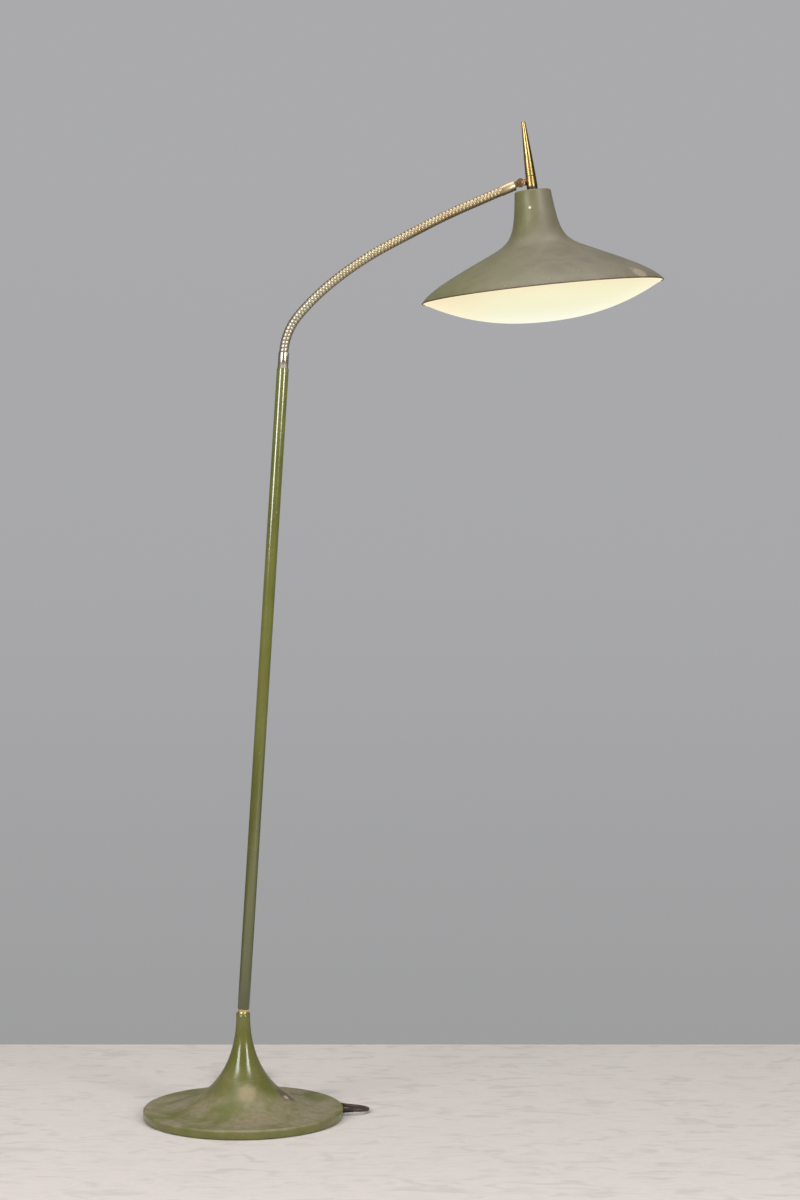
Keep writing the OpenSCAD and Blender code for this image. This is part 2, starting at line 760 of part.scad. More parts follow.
module bulb_glass() {
    throat = bulb_top - bulb_base_h + 5.5;
    profile = concat(
        [[0, throat], [bulb_base_r - 0.7, throat], [bulb_base_r - 0.7, throat - 7]],
        [for (a = [52:-6:-90]) [globe_r * cos(a), globe_s + globe_r * sin(a)]]
    );
    color(WHITE) in_stem_frame() rotate_extrude() polygon(profile);
}
module diffuser_clips() {
    low = bowl_top + 2.5;
    high = low + 15;
    color(STEEL) in_shade_frame() difference() {
        intersection() {
            tube(clip_r, clip_r - clip_t, low, high);
            for (i = [0:clip_count - 1]) rotate([0, 0, 360 / clip_count * i])
                translate([0, -clip_w / 2, low - 1]) cube([rim_r, clip_w, high - low + 2]);
        }
        rotate_extrude() polygon(concat(
            moved(shade_outline(), shade_wall), [[rim_r, past], [0, past]]
        ));
    }
}

// ================= Knob =================
module knob() {
    top = knob_high - tip_round;
    color(BRASS) in_stem_frame() difference() {
        rotate_extrude() polygon(concat(
            [[0, knob_low]],
            [for (i = [0:knob_steps]) let (s = knob_low + (top - knob_low) * i / knob_steps)
                [taper(s), s]],
            [for (i = [1:4]) let (a = 90 * i / 4)
                [(taper(top) - tip_round) + tip_round * cos(a), top + tip_round * sin(a)]],
            [[0, knob_high]]
        ));
        translate([0, 0, knob_low - eps]) cylinder(r = shaft_r, h = shaft_depth);
        translate([0, 0, set_screw_s]) rotate([-90, 0, 0]) cylinder(r = set_screw_r, h = 2 * knob_r);
    }
}
module knob_shaft() {
    color(STEEL) in_stem_frame()
        translate([0, 0, switch_low + 4])
            cylinder(r = shaft_r, h = knob_low + shaft_depth - eps - switch_low - 4);
}
module knob_set_screw() {
    color(STEEL) in_stem_frame() translate([0, shaft_r, set_screw_s]) rotate([-90, 0, 0])
        cylinder(r = set_screw_r, h = taper(set_screw_s) - shaft_r - set_screw_sunk);
}

// ================= Diffuser =================
module diffuser() {
    outline = bowl_outline();
    color(CREAM) in_shade_frame() {
        rotate_extrude() polygon(concat(outline, [[0, bowl_top - bowl_depth + bowl_wall]],
            [for (i = [bowl_steps - 1:-1:1]) outline[i] + [-0.3 * bowl_wall, bowl_wall]],
            [[bowl_r - bowl_wall, bowl_top + 0.2]]));
        tube(collar_r, collar_r - bowl_wall, collar_low, bowl_top + collar_h);
    }
}

base_shell();
base_weight();
bottom_plate();
plate_screws();
felt_pad();
tie_rod();
tie_washer();
tie_nut();
neck_bush();
brass_ring();
post_foot();
post_tube();
post_cap();
lower_ferrule();
base_lead();
cord_relief();
supply_cord();
cord_hank();
cord_tail();
hank_tie();
plug_body();
plug_pins();
color(NICKEL) hose_stretch(0);  // gooseneck_1
color(NICKEL) hose_stretch(1);  // gooseneck_2
color(NICKEL) hose_stretch(2);  // gooseneck_3
color(NICKEL) hose_stretch(3);  // gooseneck_4
color(NICKEL) hose_stretch(4);  // gooseneck_5
color(NICKEL) hose_stretch(5);  // gooseneck_6
color(NICKEL) hose_stretch(6);  // gooseneck_7
upper_ferrule();
swivel_arm_half();
swivel_screw();
swivel_nut();
swivel_head_half();
hub();
seat_washer();
cap_gasket();
shade();
cap_shim();
cap_nut();
stem_nipple();
rotary_switch();
socket_cap();
socket_insulator();
socket_shell();
screw_shell();
centre_contact();
bulb_base();
bulb_glass();
diffuser_clips();
knob();
knob_shaft();
knob_set_screw();
diffuser();
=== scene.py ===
# %% [markdown]
# An adjustable arm floor lamp: a spun steel base, a leaning post, a gooseneck
# of wound wire and a spun shade with a lit diffuser bowl. The engineering model
# gives every size and every joint. This script dresses it: it builds what the
# eye sees round that frame, piece by piece, and says how each finish is made.

# %% Load the frame
import json
import math

import bmesh
import bpy
from mathutils import Matrix, Vector


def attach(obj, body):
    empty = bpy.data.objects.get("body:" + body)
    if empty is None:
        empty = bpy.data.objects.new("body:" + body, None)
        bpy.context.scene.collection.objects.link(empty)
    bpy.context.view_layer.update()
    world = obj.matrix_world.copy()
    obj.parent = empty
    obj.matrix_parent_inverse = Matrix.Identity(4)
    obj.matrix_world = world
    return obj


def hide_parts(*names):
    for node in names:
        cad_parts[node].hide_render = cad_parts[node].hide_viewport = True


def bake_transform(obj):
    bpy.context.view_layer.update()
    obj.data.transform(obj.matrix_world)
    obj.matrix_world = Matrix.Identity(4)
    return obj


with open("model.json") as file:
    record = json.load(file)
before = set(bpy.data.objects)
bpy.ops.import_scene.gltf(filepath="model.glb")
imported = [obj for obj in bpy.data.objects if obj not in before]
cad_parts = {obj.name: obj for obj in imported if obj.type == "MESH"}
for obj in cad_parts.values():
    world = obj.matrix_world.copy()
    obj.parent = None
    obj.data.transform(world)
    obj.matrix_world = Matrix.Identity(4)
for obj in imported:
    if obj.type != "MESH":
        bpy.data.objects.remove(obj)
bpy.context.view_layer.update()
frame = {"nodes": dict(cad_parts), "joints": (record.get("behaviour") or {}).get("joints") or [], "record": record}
joints = {j["name"]: j for j in frame["joints"]}
MM = 0.001


# %% [markdown]
# Camera. A product picture of a tall lamp is taken from a few metres away with
# a long lens, a little above the middle of the lamp and pitched slightly down.
# A long lens keeps the post straight and the shade's ellipse calm. It stands a
# little to the right of the lamp's middle, from where the base hides the spare
# cord behind it, and is turned back to the left by the same small angle.

# %% Camera
CAMERA_PLACE = (0.26, -3.7, 0.87)
PITCH_DOWN, TURN_LEFT = 2.754, 0.7835
camera_data = bpy.data.cameras.new("camera")
camera_data.lens = 83.9
camera_data.sensor_width = 36.0
camera = bpy.data.objects.new("camera", camera_data)
camera.location = CAMERA_PLACE
camera.rotation_euler = (math.radians(90 - PITCH_DOWN), 0, math.radians(TURN_LEFT))
bpy.context.scene.collection.objects.link(camera)
bpy.context.scene.camera = camera
print("camera at", tuple(round(x, 3) for x in camera.location))


# %% [markdown]
# Two helpers make every finish. Colours are written as on a screen, in hex, and
# turned to the linear values that light is added up in. A node is added with
# its settings and its links in one line, so a finish reads as a short recipe.

# %% Colour and node helpers
def linear(code):
    """The linear colour of an sRGB hex code."""
    parts = [int(code[i:i + 2], 16) / 255 for i in (1, 3, 5)]
    return (*[c / 12.92 if c <= 0.04045 else ((c + 0.055) / 1.055) ** 2.4 for c in parts], 1.0)


def add(tree, kind, sockets=None, stops=None, **settings):
    """A shader node with its settings, and a value or a link for each named socket."""
    node = tree.nodes.new("ShaderNode" + kind)
    for name, value in settings.items():
        setattr(node, name, value)
    if stops:
        elements = node.color_ramp.elements
        while len(elements) < len(stops):
            elements.new(1.0)
        for element, (place, colour) in zip(elements, stops):
            element.position = place
            element.color = linear(colour) if isinstance(colour, str) else (colour,) * 3 + (1,)
    for name, value in (sockets or {}).items():
        if isinstance(value, bpy.types.NodeSocket):
            tree.links.new(value, node.inputs[name])
        else:
            node.inputs[name].default_value = linear(value) if isinstance(value, str) else value
    return node


def start_finish(name, **values):
    """A new material: returns it, its tree, its shader and the piece's own coordinates."""
    made = bpy.data.materials.new(name)
    made.use_nodes = True
    tree = made.node_tree
    shader = tree.nodes["Principled BSDF"]
    for socket, value in values.items():
        shader.inputs[socket.replace("_", " ")].default_value = value
    return made, tree, shader, add(tree, "TexCoord").outputs["Object"]


def per(size_mm):
    """A pattern's scale for features of that real size."""
    return 1000 / size_mm


def mottle(tree, coords, size_mm, stops, detail=3.0, distortion=0.0):
    """A noise of that feature size, drawn through colour stops."""
    noise = add(tree, "TexNoise", {
        "Vector": coords, "Scale": per(size_mm), "Detail": detail, "Distortion": distortion})
    return add(tree, "ValToRGB", {"Fac": noise.outputs["Fac"]}, stops=stops).outputs["Color"]


def grain(tree, shader, coords, size_mm, depth_mm):
    """A fine relief of that size and depth on the shader: a noise and the bump it drives."""
    noise = add(tree, "TexNoise", {"Vector": coords, "Scale": per(size_mm), "Detail": 2.0})
    bump = add(tree, "Bump", {
        "Height": noise.outputs["Fac"], "Distance": depth_mm * MM, "Strength": 1.0})
    tree.links.new(bump.outputs["Normal"], shader.inputs["Normal"])


def spot(tree, coords, place_mm, radius_mm, ragged_mm=0.0):
    """1 near a place on a piece and 0 beyond the radius, with a ragged edge."""
    offset = add(tree, "VectorMath", {0: coords, 1: [x * MM for x in place_mm]},
                 operation="SUBTRACT")
    distance = add(tree, "VectorMath", {0: offset.outputs[0]}, operation="LENGTH").outputs["Value"]
    noise = add(tree, "TexNoise", {"Vector": coords, "Scale": per(5), "Detail": 4.0}).outputs["Fac"]
    pushed = add(tree, "Math", {0: noise, 1: ragged_mm * MM, 2: distance},
                 operation="MULTIPLY_ADD")
    return add(tree, "MapRange", {
        "Value": pushed.outputs[0], "From Min": (radius_mm + ragged_mm / 2) * MM,
        "From Max": (0.6 * radius_mm + ragged_mm / 2) * MM}).outputs[0]


# %% [markdown]
# The supply cord. Only its first centimetres show, so it is the 2.33 m of round
# 5 mm mains cord that such a lamp has. It runs straight out of its relief, curls
# back behind the base and is folded into a hank of seven and a half turns, in
# three layers a diameter apart, with the plug behind it. One curve carries the
# whole length, so that it can be measured.

# %% The cord's route
CORD_D = 5.0
RELIEF_TIP = (147.14, 10.29, 7.0)
SUPPLY_ROUTE = [
    (152, 10.6, 7), (159, 14, 6.3), (164, 22, 5), (165.5, 32, 3.6), (162, 42, 2.6),
    (154, 49, 2.6), (143, 54, 2.6), (130, 61, 2.6), (119, 74, 2.6), (106, 91, 2.6),
    (92, 106, 2.6), (76, 119, 2.6), (58, 130, 2.6), (40, 139, 2.6), (26, 149, 2.6),
    (17.5, 161, 2.8), (14, 175, 3.3)]
TAIL_ROUTE = [
    (0.5, 256, 12.6), (-2.5, 267, 11), (-7.5, 278, 8.4), (-12.5, 288, 6.6), (-15.8, 296, 6),
    (-17.3, 301.5, 6), (-18, 308, 6)]
HANK_CENTRE = (-15, 203)
HANK_TURN = math.radians(3)
HANK_RUN = 75
TURN_RADII = [25, 20, 15, 15, 20, 25, 25, 20]
TURN_HEIGHTS = [3.3, 3.3, 3.3, 8.3, 8.3, 8.3, 13.3, 13.3]


def hank_point(across, along, height):
    """A point of the hank, turned and moved to where it lies."""
    c, s = math.cos(HANK_TURN), math.sin(HANK_TURN)
    return (HANK_CENTRE[0] + across * c - along * s,
            HANK_CENTRE[1] + across * s + along * c, height)


def hank_route():
    """The hank's centreline: up each right run, round, down the left run and round."""
    half = HANK_RUN / 2
    points = [hank_point(25.3, -14, 3.3), hank_point(25, 4, 3.3), hank_point(25, 20, 3.3)]
    for turn, (radius, height) in enumerate(zip(TURN_RADII, TURN_HEIGHTS)):
        if turn:
            points += [hank_point(radius, f * half, height) for f in (-1, -0.5, 0, 0.5)]
        if turn == len(TURN_RADII) - 1:
            return points + [hank_point(radius, half - 4, height)]
        for step in range(13):
            a = math.pi * step / 12
            points.append(hank_point(radius * math.cos(a), half + radius * math.sin(a), height))
        next_radius, next_height = TURN_RADII[turn + 1], TURN_HEIGHTS[turn + 1]
        for f in (0.25, 0.5, 0.75):
            ease = f * f * (3 - 2 * f)
            points.append(hank_point(
                -(radius + (next_radius - radius) * ease), half - f * HANK_RUN,
                height + (next_height - height) * ease))
        for step in range(12):
            a = math.pi * (1 + step / 12)
            points.append(hank_point(
                next_radius * math.cos(a), -half + next_radius * math.sin(a), next_height))


def smooth_route(points, spacing):
    """Points a spacing apart on the smooth curve through the given points."""
    points = [Vector(p) for p in points]
    last = len(points) - 1
    fine = []
    for i in range(last):
        p0, p1, p2, p3 = points[max(i - 1, 0)], points[i], points[i + 1], points[min(i + 2, last)]
        count = max(2, round((p2 - p1).length / spacing))
        for step in range(count):
            t = step / count
            fine.append(0.5 * ((2 * p1) + (p2 - p0) * t + (2 * p0 - 5 * p1 + 4 * p2 - p3) * t * t
                               + (3 * p1 - p0 - 3 * p2 + p3) * t ** 3))
    return fine + [points[-1]]


ROUTE_SPACING = 2.5
cord_route = [p * MM for p in smooth_route(
    [RELIEF_TIP, *SUPPLY_ROUTE, *hank_route(), *TAIL_ROUTE], ROUTE_SPACING)]

# %% The cord
cord_curve = bpy.data.curves.new("power_cord", "CURVE")
cord_curve.dimensions = "3D"
cord_curve.bevel_depth = CORD_D / 2 * MM
cord_curve.bevel_resolution = 4
cord_curve.use_fill_caps = True
cord_spline = cord_curve.splines.new("POLY")
cord_spline.points.add(len(cord_route) - 1)
for point, place in zip(cord_spline.points, cord_route):
    point.co = (*place, 1)
power_cord = bpy.data.objects.new("power_cord", cord_curve)
bpy.context.scene.collection.objects.link(power_cord)


# %% [markdown]
# Stage and light. The lamp stands on a pale stone floor before a plain grey
# wall. Two tall softboxes, left and right of the camera, draw the pair of
# upright bright bands down the post, the neck and the ferrules. What lies
# beyond them is dark, and gives the metal its dark edges. The floor's far edge
# is square to the camera, so it meets the wall in a level line, and the wall is
# the world's own colour as the camera sees it, with a painted shade that makes
# it darker towards the floor.

# %% Floor
floor_mesh = bpy.data.meshes.new("floor")
floor_bm = bmesh.new()
FLOOR_BACK, FLOOR_FRONT, FLOOR_SIDE = 0.467, -6.0, 4.0
for x, y in ((-FLOOR_SIDE, FLOOR_FRONT), (FLOOR_SIDE, FLOOR_FRONT),
             (FLOOR_SIDE, FLOOR_BACK), (-FLOOR_SIDE, FLOOR_BACK)):
    floor_bm.verts.new((x, y, 0))
floor_bm.faces.new(floor_bm.verts)
floor_bm.to_mesh(floor_mesh)
floor_bm.free()
floor = bpy.data.objects.new("floor", floor_mesh)
floor.rotation_euler.z = camera.rotation_euler.z
bpy.context.scene.collection.objects.link(floor)
stone, tree, shader, coords = start_finish(
    "honed_pale_stone", Roughness=0.8, Specular_IOR_Level=0.2)
drawn_out = add(tree, "Mapping", {
    "Vector": coords, "Rotation": (0, 0, 0.35), "Scale": (0.5, 1.0, 1)})
tree.links.new(mottle(tree, drawn_out.outputs[0], 28, [
    (0.34, "#CBC4BE"), (0.44, "#D4CDC7"), (0.55, "#D9D1CA"), (0.68, "#D3CDC8")],
    detail=10.0, distortion=1.2), shader.inputs["Base Color"])
floor_mesh.materials.append(stone)

# %% World
world = bpy.data.worlds.new("studio")
world.use_nodes = True
bpy.context.scene.world = world
sky = world.node_tree
direction = add(sky, "TexCoord").outputs["Generated"]
toward_wall = add(sky, "SeparateXYZ", {0: direction}).outputs["Y"]
surround = add(sky, "ValToRGB", {"Fac": toward_wall}, stops=[
    (0.0, "#747476"), (0.35, "#6A6A6C"), (0.8, "#6E6E70"), (0.95, "#A8A8AA")]).outputs["Color"]
seen = add(sky, "LightPath").outputs["Is Camera Ray"]
upward = add(sky, "SeparateXYZ", {0: direction}).outputs["Z"]
raised = add(sky, "Math", {0: upward, 1: 0.5}, operation="ADD").outputs[0]
# painted shade: the wall the camera sees is darker low down, towards the floor
wall = add(sky, "ValToRGB", {"Fac": raised}, stops=[
    (0.3, "#9E9E9F"), (0.46, "#A8A8AA"), (0.6, "#AAAAAC")])
background = add(sky, "Mix", {0: seen, 6: surround, 7: wall.outputs["Color"]}, data_type="RGBA")
sky.links.new(background.outputs[2], sky.nodes["Background"].inputs["Color"])


# %% Lights
def softbox(name, place, target, size, power):
    """A rectangular soft light that faces a target."""
    data = bpy.data.lights.new(name, "AREA")
    data.shape = "RECTANGLE"
    data.size, data.size_y = size
    data.energy = power
    light = bpy.data.objects.new(name, data)
    light.location = place
    light.rotation_euler = (Vector(target) - Vector(place)).to_track_quat("-Z", "Y").to_euler()
    bpy.context.scene.collection.objects.link(light)


LAMP_MIDDLE = (0.1, 0, 1.0)
softbox("left_box", (-1.75, -2.25, 1.75), LAMP_MIDDLE, (1.05, 1.9), 60)
softbox("right_box", (2.0, -2.2, 1.75), LAMP_MIDDLE, (0.85, 1.9), 56)
softbox("top_box", (0.2, -0.2, 3.2), (0.2, 0, 0), (2.4, 2.4), 45)
bpy.context.scene.view_settings.view_transform = "Standard"


# %% [markdown]
# Paint on the base and post is a sprayed olive enamel. On the post it is clean, so
# a clear coat over the colour draws crisp highlights, and a painted shade darkens
# its colour towards the foot. On the base it fades from glossy on the neck to dull
# and brownish on the flat, where decades of dust and feet have been at it, so its
# roughness follows its height. The skin of a sprayed coat waves every millimetre
# or so, which is too fine to show here, so it is drawn 5 to 8 mm wide. The same
# holds for chips: real ones are about 1 mm across and are drawn up to 3 mm.

# %% Olive enamel
CHIPS = [(0.735, 0.0), (0.755, 1.0)]
CHIP_MM, CHIP_COLOUR = 3.2, "#A79B7C"


def olive_enamel():
    made, tree, shader, coords = start_finish(
        "sprayed_olive_enamel", Roughness=0.4, Specular_IOR_Level=0.0, Coat_Weight=1.0,
        Coat_Roughness=0.12, Coat_IOR=1.95)
    tone = mottle(tree, coords, 60, [(0.3, "#5F6322"), (0.5, "#686A2B"), (0.7, "#706F33")],
                  detail=4.0)
    chips = mottle(tree, coords, CHIP_MM, CHIPS, detail=2.0)
    painted = add(tree, "Mix", {0: chips, 6: tone, 7: CHIP_COLOUR}, data_type="RGBA").outputs[2]
    height = add(tree, "SeparateXYZ", {0: coords}).outputs["Z"]
    # painted shade: the colour darkens towards the post's foot, from 0.6 m down to 0.15 m
    low = add(tree, "MapRange", {
        "Value": height, "From Min": 0.6, "From Max": 0.15, "To Max": 0.95}).outputs[0]
    painted = add(tree, "Mix", {0: low, 6: painted, 7: "#3E420F"}, data_type="RGBA").outputs[2]
    tree.links.new(painted, shader.inputs["Base Color"])
    grain(tree, shader, coords, 8, 0.004)
    return made


SCAR_PLACE, BARE_PLACE, GRAZE_PLACE = (55, -6, 29), (57, -12, 27), (8, -42, 40)


def dusty_olive_enamel():
    made, tree, shader, coords = start_finish("faded_olive_enamel", IOR=1.6)
    clean = mottle(tree, coords, 30, [(0.3, "#5B5D22"), (0.5, "#65662D"), (0.7, "#6E6C39")],
                   detail=6.0)
    faded = mottle(tree, coords, 8, [(0.3, "#776E4C"), (0.5, "#857A5E"), (0.7, "#90836B")],
                   detail=9.0)
    height = add(tree, "SeparateXYZ", {0: coords}).outputs["Z"]
    scaled = add(tree, "Math", {0: height, 1: 10.0}, operation="MULTIPLY").outputs[0]
    flat_only = add(tree, "ValToRGB", {"Fac": scaled}, stops=[
        (0.0, 0.0), (0.085, 0.15), (0.125, 1.0), (0.25, 0.85),
        (0.5, 0.3), (0.8, 0.0)]).outputs["Color"]
    patches = mottle(tree, coords, 34, [(0.39, 0.08), (0.59, 1.0)], detail=8.0, distortion=0.4)
    dust = add(tree, "Math", {0: patches, 1: flat_only}, operation="MULTIPLY").outputs[0]
    painted = add(tree, "Mix", {0: dust, 6: clean, 7: faded}, data_type="RGBA").outputs[2]
    scar = spot(tree, coords, SCAR_PLACE, 16, 20)
    painted = add(tree, "Mix", {0: scar, 6: painted, 7: "#5E4A36"}, data_type="RGBA").outputs[2]
    bare = spot(tree, coords, BARE_PLACE, 6, 12)
    painted = add(tree, "Mix", {0: bare, 6: painted, 7: "#B4A88A"}, data_type="RGBA").outputs[2]
    graze = spot(tree, coords, GRAZE_PLACE, 15, 10)
    half_graze = add(tree, "Math", {0: graze, 1: 0.3}, operation="MULTIPLY").outputs[0]
    painted = add(tree, "Mix", {0: half_graze, 6: painted, 7: "#B0956C"},
                  data_type="RGBA").outputs[2]
    chips = mottle(tree, coords, CHIP_MM, CHIPS, detail=2.0)
    painted = add(tree, "Mix", {0: chips, 6: painted, 7: CHIP_COLOUR}, data_type="RGBA").outputs[2]
    tree.links.new(painted, shader.inputs["Base Color"])
    rough = add(tree, "ValToRGB", {"Fac": flat_only}, stops=[
        (0.0, 0.17), (0.3, 0.3), (0.8, 0.55), (1.0, 0.62)]).outputs["Color"]
    tree.links.new(rough, shader.inputs["Roughness"])
    grain(tree, shader, coords, 5, 0.012)
    return made


# %% [markdown]
# The shade's outside is the same kind of enamel in a paler taupe, gone greener
# where it is less faded, on the left and up the neck. It was spun on a lathe, so
# faint rings follow the axis under the paint, drawn 20 mm apart where the real
# ones are too fine to show. Two worn places are paler. The turned edge is painted
# dark brown, a painted shade for its edge in shadow. Inside it is white, to throw
# the light down, with a faint warm glow painted on as the bulb's light.

# %% Shade enamels
HEAD_TOP = Vector(joints["switch_turn"]["pos_m"])
STEM_AXIS = Vector(joints["switch_turn"]["axis"]).normalized()
SHADE_AXIS = -Vector(joints["diffuser_drop"]["axis"]).normalized()
SHADE_TILT = math.atan2(-SHADE_AXIS.x, SHADE_AXIS.z)
STEM_TILT = math.atan2(-STEM_AXIS.x, STEM_AXIS.z)


SCUFF_PLACE, NICK_PLACE = (518, -94, 1117), (379.3, -25.7, 1206.6)


def shade_enamel():
    made, tree, shader, coords = start_finish("sprayed_taupe_enamel", IOR=1.45)
    on_axis = add(tree, "Mapping", {
        "Vector": coords, "Location": tuple(HEAD_TOP), "Rotation": (0, -SHADE_TILT, 0)},
        vector_type="TEXTURE").outputs[0]
    across = add(tree, "SeparateXYZ", {0: on_axis})
    fade = mottle(tree, coords, 45, [(0.35, "#69634F"), (0.5, "#736C5B"), (0.65, "#6B6354")],
                  detail=9.0, distortion=0.5)
    green = mottle(tree, coords, 20, [(0.3, "#66663A"), (0.7, "#74724E")], detail=6.0)
    left = add(tree, "MapRange", {
        "Value": across.outputs["X"], "From Min": 0.03, "From Max": -0.13,
        "To Max": 0.75}).outputs[0]
    up = add(tree, "MapRange", {
        "Value": across.outputs["Z"], "From Min": -0.09, "From Max": -0.04,
        "To Max": 0.85}).outputs[0]
    side = add(tree, "MapRange", {
        "Value": across.outputs["X"], "From Min": 0.012, "From Max": -0.012,
        "To Min": 0.3}).outputs[0]
    neck = add(tree, "Math", {0: up, 1: side}, operation="MULTIPLY").outputs[0]
    less_faded = add(tree, "Math", {0: left, 1: neck}, operation="MAXIMUM").outputs[0]
    painted = add(tree, "Mix", {0: less_faded, 6: fade, 7: green}, data_type="RGBA").outputs[2]
    scuff = spot(tree, coords, SCUFF_PLACE, 15, 18)
    half_scuff = add(tree, "Math", {0: scuff, 1: 0.45}, operation="MULTIPLY").outputs[0]
    painted = add(tree, "Mix", {0: half_scuff, 6: painted, 7: "#B5A58E"},
                  data_type="RGBA").outputs[2]
    specks = mottle(tree, coords, 2.6, [(0.76, 0.0), (0.775, 1.0)], detail=1.0)
    painted = add(tree, "Mix", {0: specks, 6: painted, 7: "#A8A08A"}, data_type="RGBA").outputs[2]
    nick = spot(tree, coords, NICK_PLACE, 2.4, 3)
    painted = add(tree, "Mix", {0: nick, 6: painted, 7: "#D8D2B4"}, data_type="RGBA").outputs[2]
    tree.links.new(painted, shader.inputs["Base Color"])
    tree.links.new(mottle(tree, coords, 30, [(0.3, 0.42), (0.7, 0.52)]), shader.inputs["Roughness"])
    rings = add(tree, "TexWave", {"Vector": on_axis, "Scale": per(20), "Distortion": 0.5},
                wave_type="RINGS", rings_direction="Z").outputs["Fac"]
    relief = add(tree, "Bump", {"Height": rings, "Distance": 0.01 * MM, "Strength": 1.0})
    tree.links.new(relief.outputs["Normal"], shader.inputs["Normal"])
    return made


def hem_enamel():
    # painted shade: the hem is coloured dark brown for its edge in shadow
    made, tree, shader, coords = start_finish("hem_painted_shade_enamel", Roughness=0.45)
    tree.links.new(mottle(tree, coords, 8, [(0.3, "#4A3A28"), (0.6, "#5E4C34"), (0.75, "#8A7A60")],
                          detail=4.0), shader.inputs["Base Color"])
    grain(tree, shader, coords, 3, 0.02)
    return made


def white_enamel():
    # painted light: a faint warm glow on the white inside stands in for the bulb's light
    made, tree, shader, coords = start_finish(
        "white_reflector_enamel", Roughness=0.4, Emission_Color=linear("#FFE9B8"),
        Emission_Strength=0.25)
    tree.links.new(mottle(tree, coords, 50, [(0.3, "#E6E0D0"), (0.7, "#F1EDE2")]),
                   shader.inputs["Base Color"])
    return made


# %% [markdown]
# The metals. Brass is turned and polished, then handled: pale gold in the light,
# amber in the dark, with brown tarnish that gathers in patches. On the long knob
# a painted shade darkens the brass down its right side. The ferrules are bright
# nickel plate. The hose is nickel too, worn towards the head down to the warm
# brass under it, with old grease in its grooves, which the mesh marks for the
# finish.

# %% Brass and nickel
def polished_brass(name, base="#CBA667", tarnish="#A87C40", rough=0.2, shaded_side=0.0):
    made, tree, shader, coords = start_finish(name, Metallic=1.0)
    patina = mottle(tree, coords, 18, [(0.4, 0.0), (0.7, 1.0)], detail=3.0)
    colour = add(tree, "Mix", {0: patina, 6: base, 7: tarnish}, data_type="RGBA").outputs[2]
    # painted shade: a dark brown is mixed in down the stem's right side, as much as shaded_side says
    if shaded_side:
        on_stem = add(tree, "Mapping", {
            "Vector": coords, "Location": tuple(HEAD_TOP), "Rotation": (0, -STEM_TILT, 0)},
            vector_type="TEXTURE").outputs[0]
        across = add(tree, "SeparateXYZ", {0: on_stem}).outputs["X"]
        painted_shade_side = add(tree, "MapRange", {
            "Value": across, "From Min": -0.0005, "From Max": 0.0035, "To Max": shaded_side})
        colour = add(tree, "Mix", {0: painted_shade_side.outputs[0], 6: colour, 7: "#5E4819"},
                     data_type="RGBA").outputs[2]
    tree.links.new(colour, shader.inputs["Base Color"])
    dulled = add(tree, "MapRange", {"Value": patina, "To Min": rough, "To Max": rough + 0.1})
    tree.links.new(dulled.outputs[0], shader.inputs["Roughness"])
    return made


def bright_nickel():
    made, tree, shader, coords = start_finish("bright_nickel_plate", Metallic=1.0)
    tree.links.new(mottle(tree, coords, 30, [(0.35, "#D6D0C2"), (0.7, "#CCC3AF")]),
                   shader.inputs["Base Color"])
    tree.links.new(mottle(tree, coords, 12, [(0.3, 0.22), (0.7, 0.27)]), shader.inputs["Roughness"])
    return made


def worn_hose_nickel():
    made, tree, shader, coords = start_finish("worn_hose_nickel", Metallic=1.0)
    along = add(tree, "Attribute", attribute_name="hose_along").outputs["Fac"]
    groove = add(tree, "Attribute", attribute_name="hose_groove").outputs["Fac"]
    plate = mottle(tree, coords, 14, [(0.3, "#BAB4A4"), (0.7, "#AEA58C")])
    warm = mottle(tree, coords, 26, [(0.35, "#BCAF90"), (0.6, "#B8A684"), (0.72, "#B89280")])
    worn = add(tree, "MapRange", {"Value": along, "From Min": 0.1, "From Max": 0.5}).outputs[0]
    wire = add(tree, "Mix", {0: worn, 6: plate, 7: warm}, data_type="RGBA").outputs[2]
    grime = add(tree, "MapRange", {
        "Value": groove, "From Min": 0.3, "From Max": 1.0, "To Max": 0.8}).outputs[0]
    colour = add(tree, "Mix", {0: grime, 6: wire, 7: "#4E4228"}, data_type="RGBA").outputs[2]
    tree.links.new(colour, shader.inputs["Base Color"])
    dulled = add(tree, "MapRange", {"Value": grime, "To Min": 0.42, "To Max": 0.6})
    tree.links.new(dulled.outputs[0], shader.inputs["Roughness"])
    return made


# %% [markdown]
# The rest of the finishes are plain workshop ones: cast iron and zinc plate in
# the base, felt, rubber, the cord's jacket, moulded plastic, the socket's
# ceramic, the frosted bulb and the opal diffuser, which glows cream where the
# bulb lights it and warmer towards its edge.

# %% Plain finishes
def plain_finish(name, size_mm, light, dark, rough, metallic=0.0, grit_mm=1.0, depth_mm=0.05,
                 **values):
    """A finish of two close tones in patches, with a fine grit as its bump."""
    made, tree, shader, coords = start_finish(name, Metallic=metallic, Roughness=rough, **values)
    tree.links.new(mottle(tree, coords, size_mm, [(0.3, dark), (0.7, light)], detail=5.0),
                   shader.inputs["Base Color"])
    grain(tree, shader, coords, grit_mm, depth_mm)
    return made


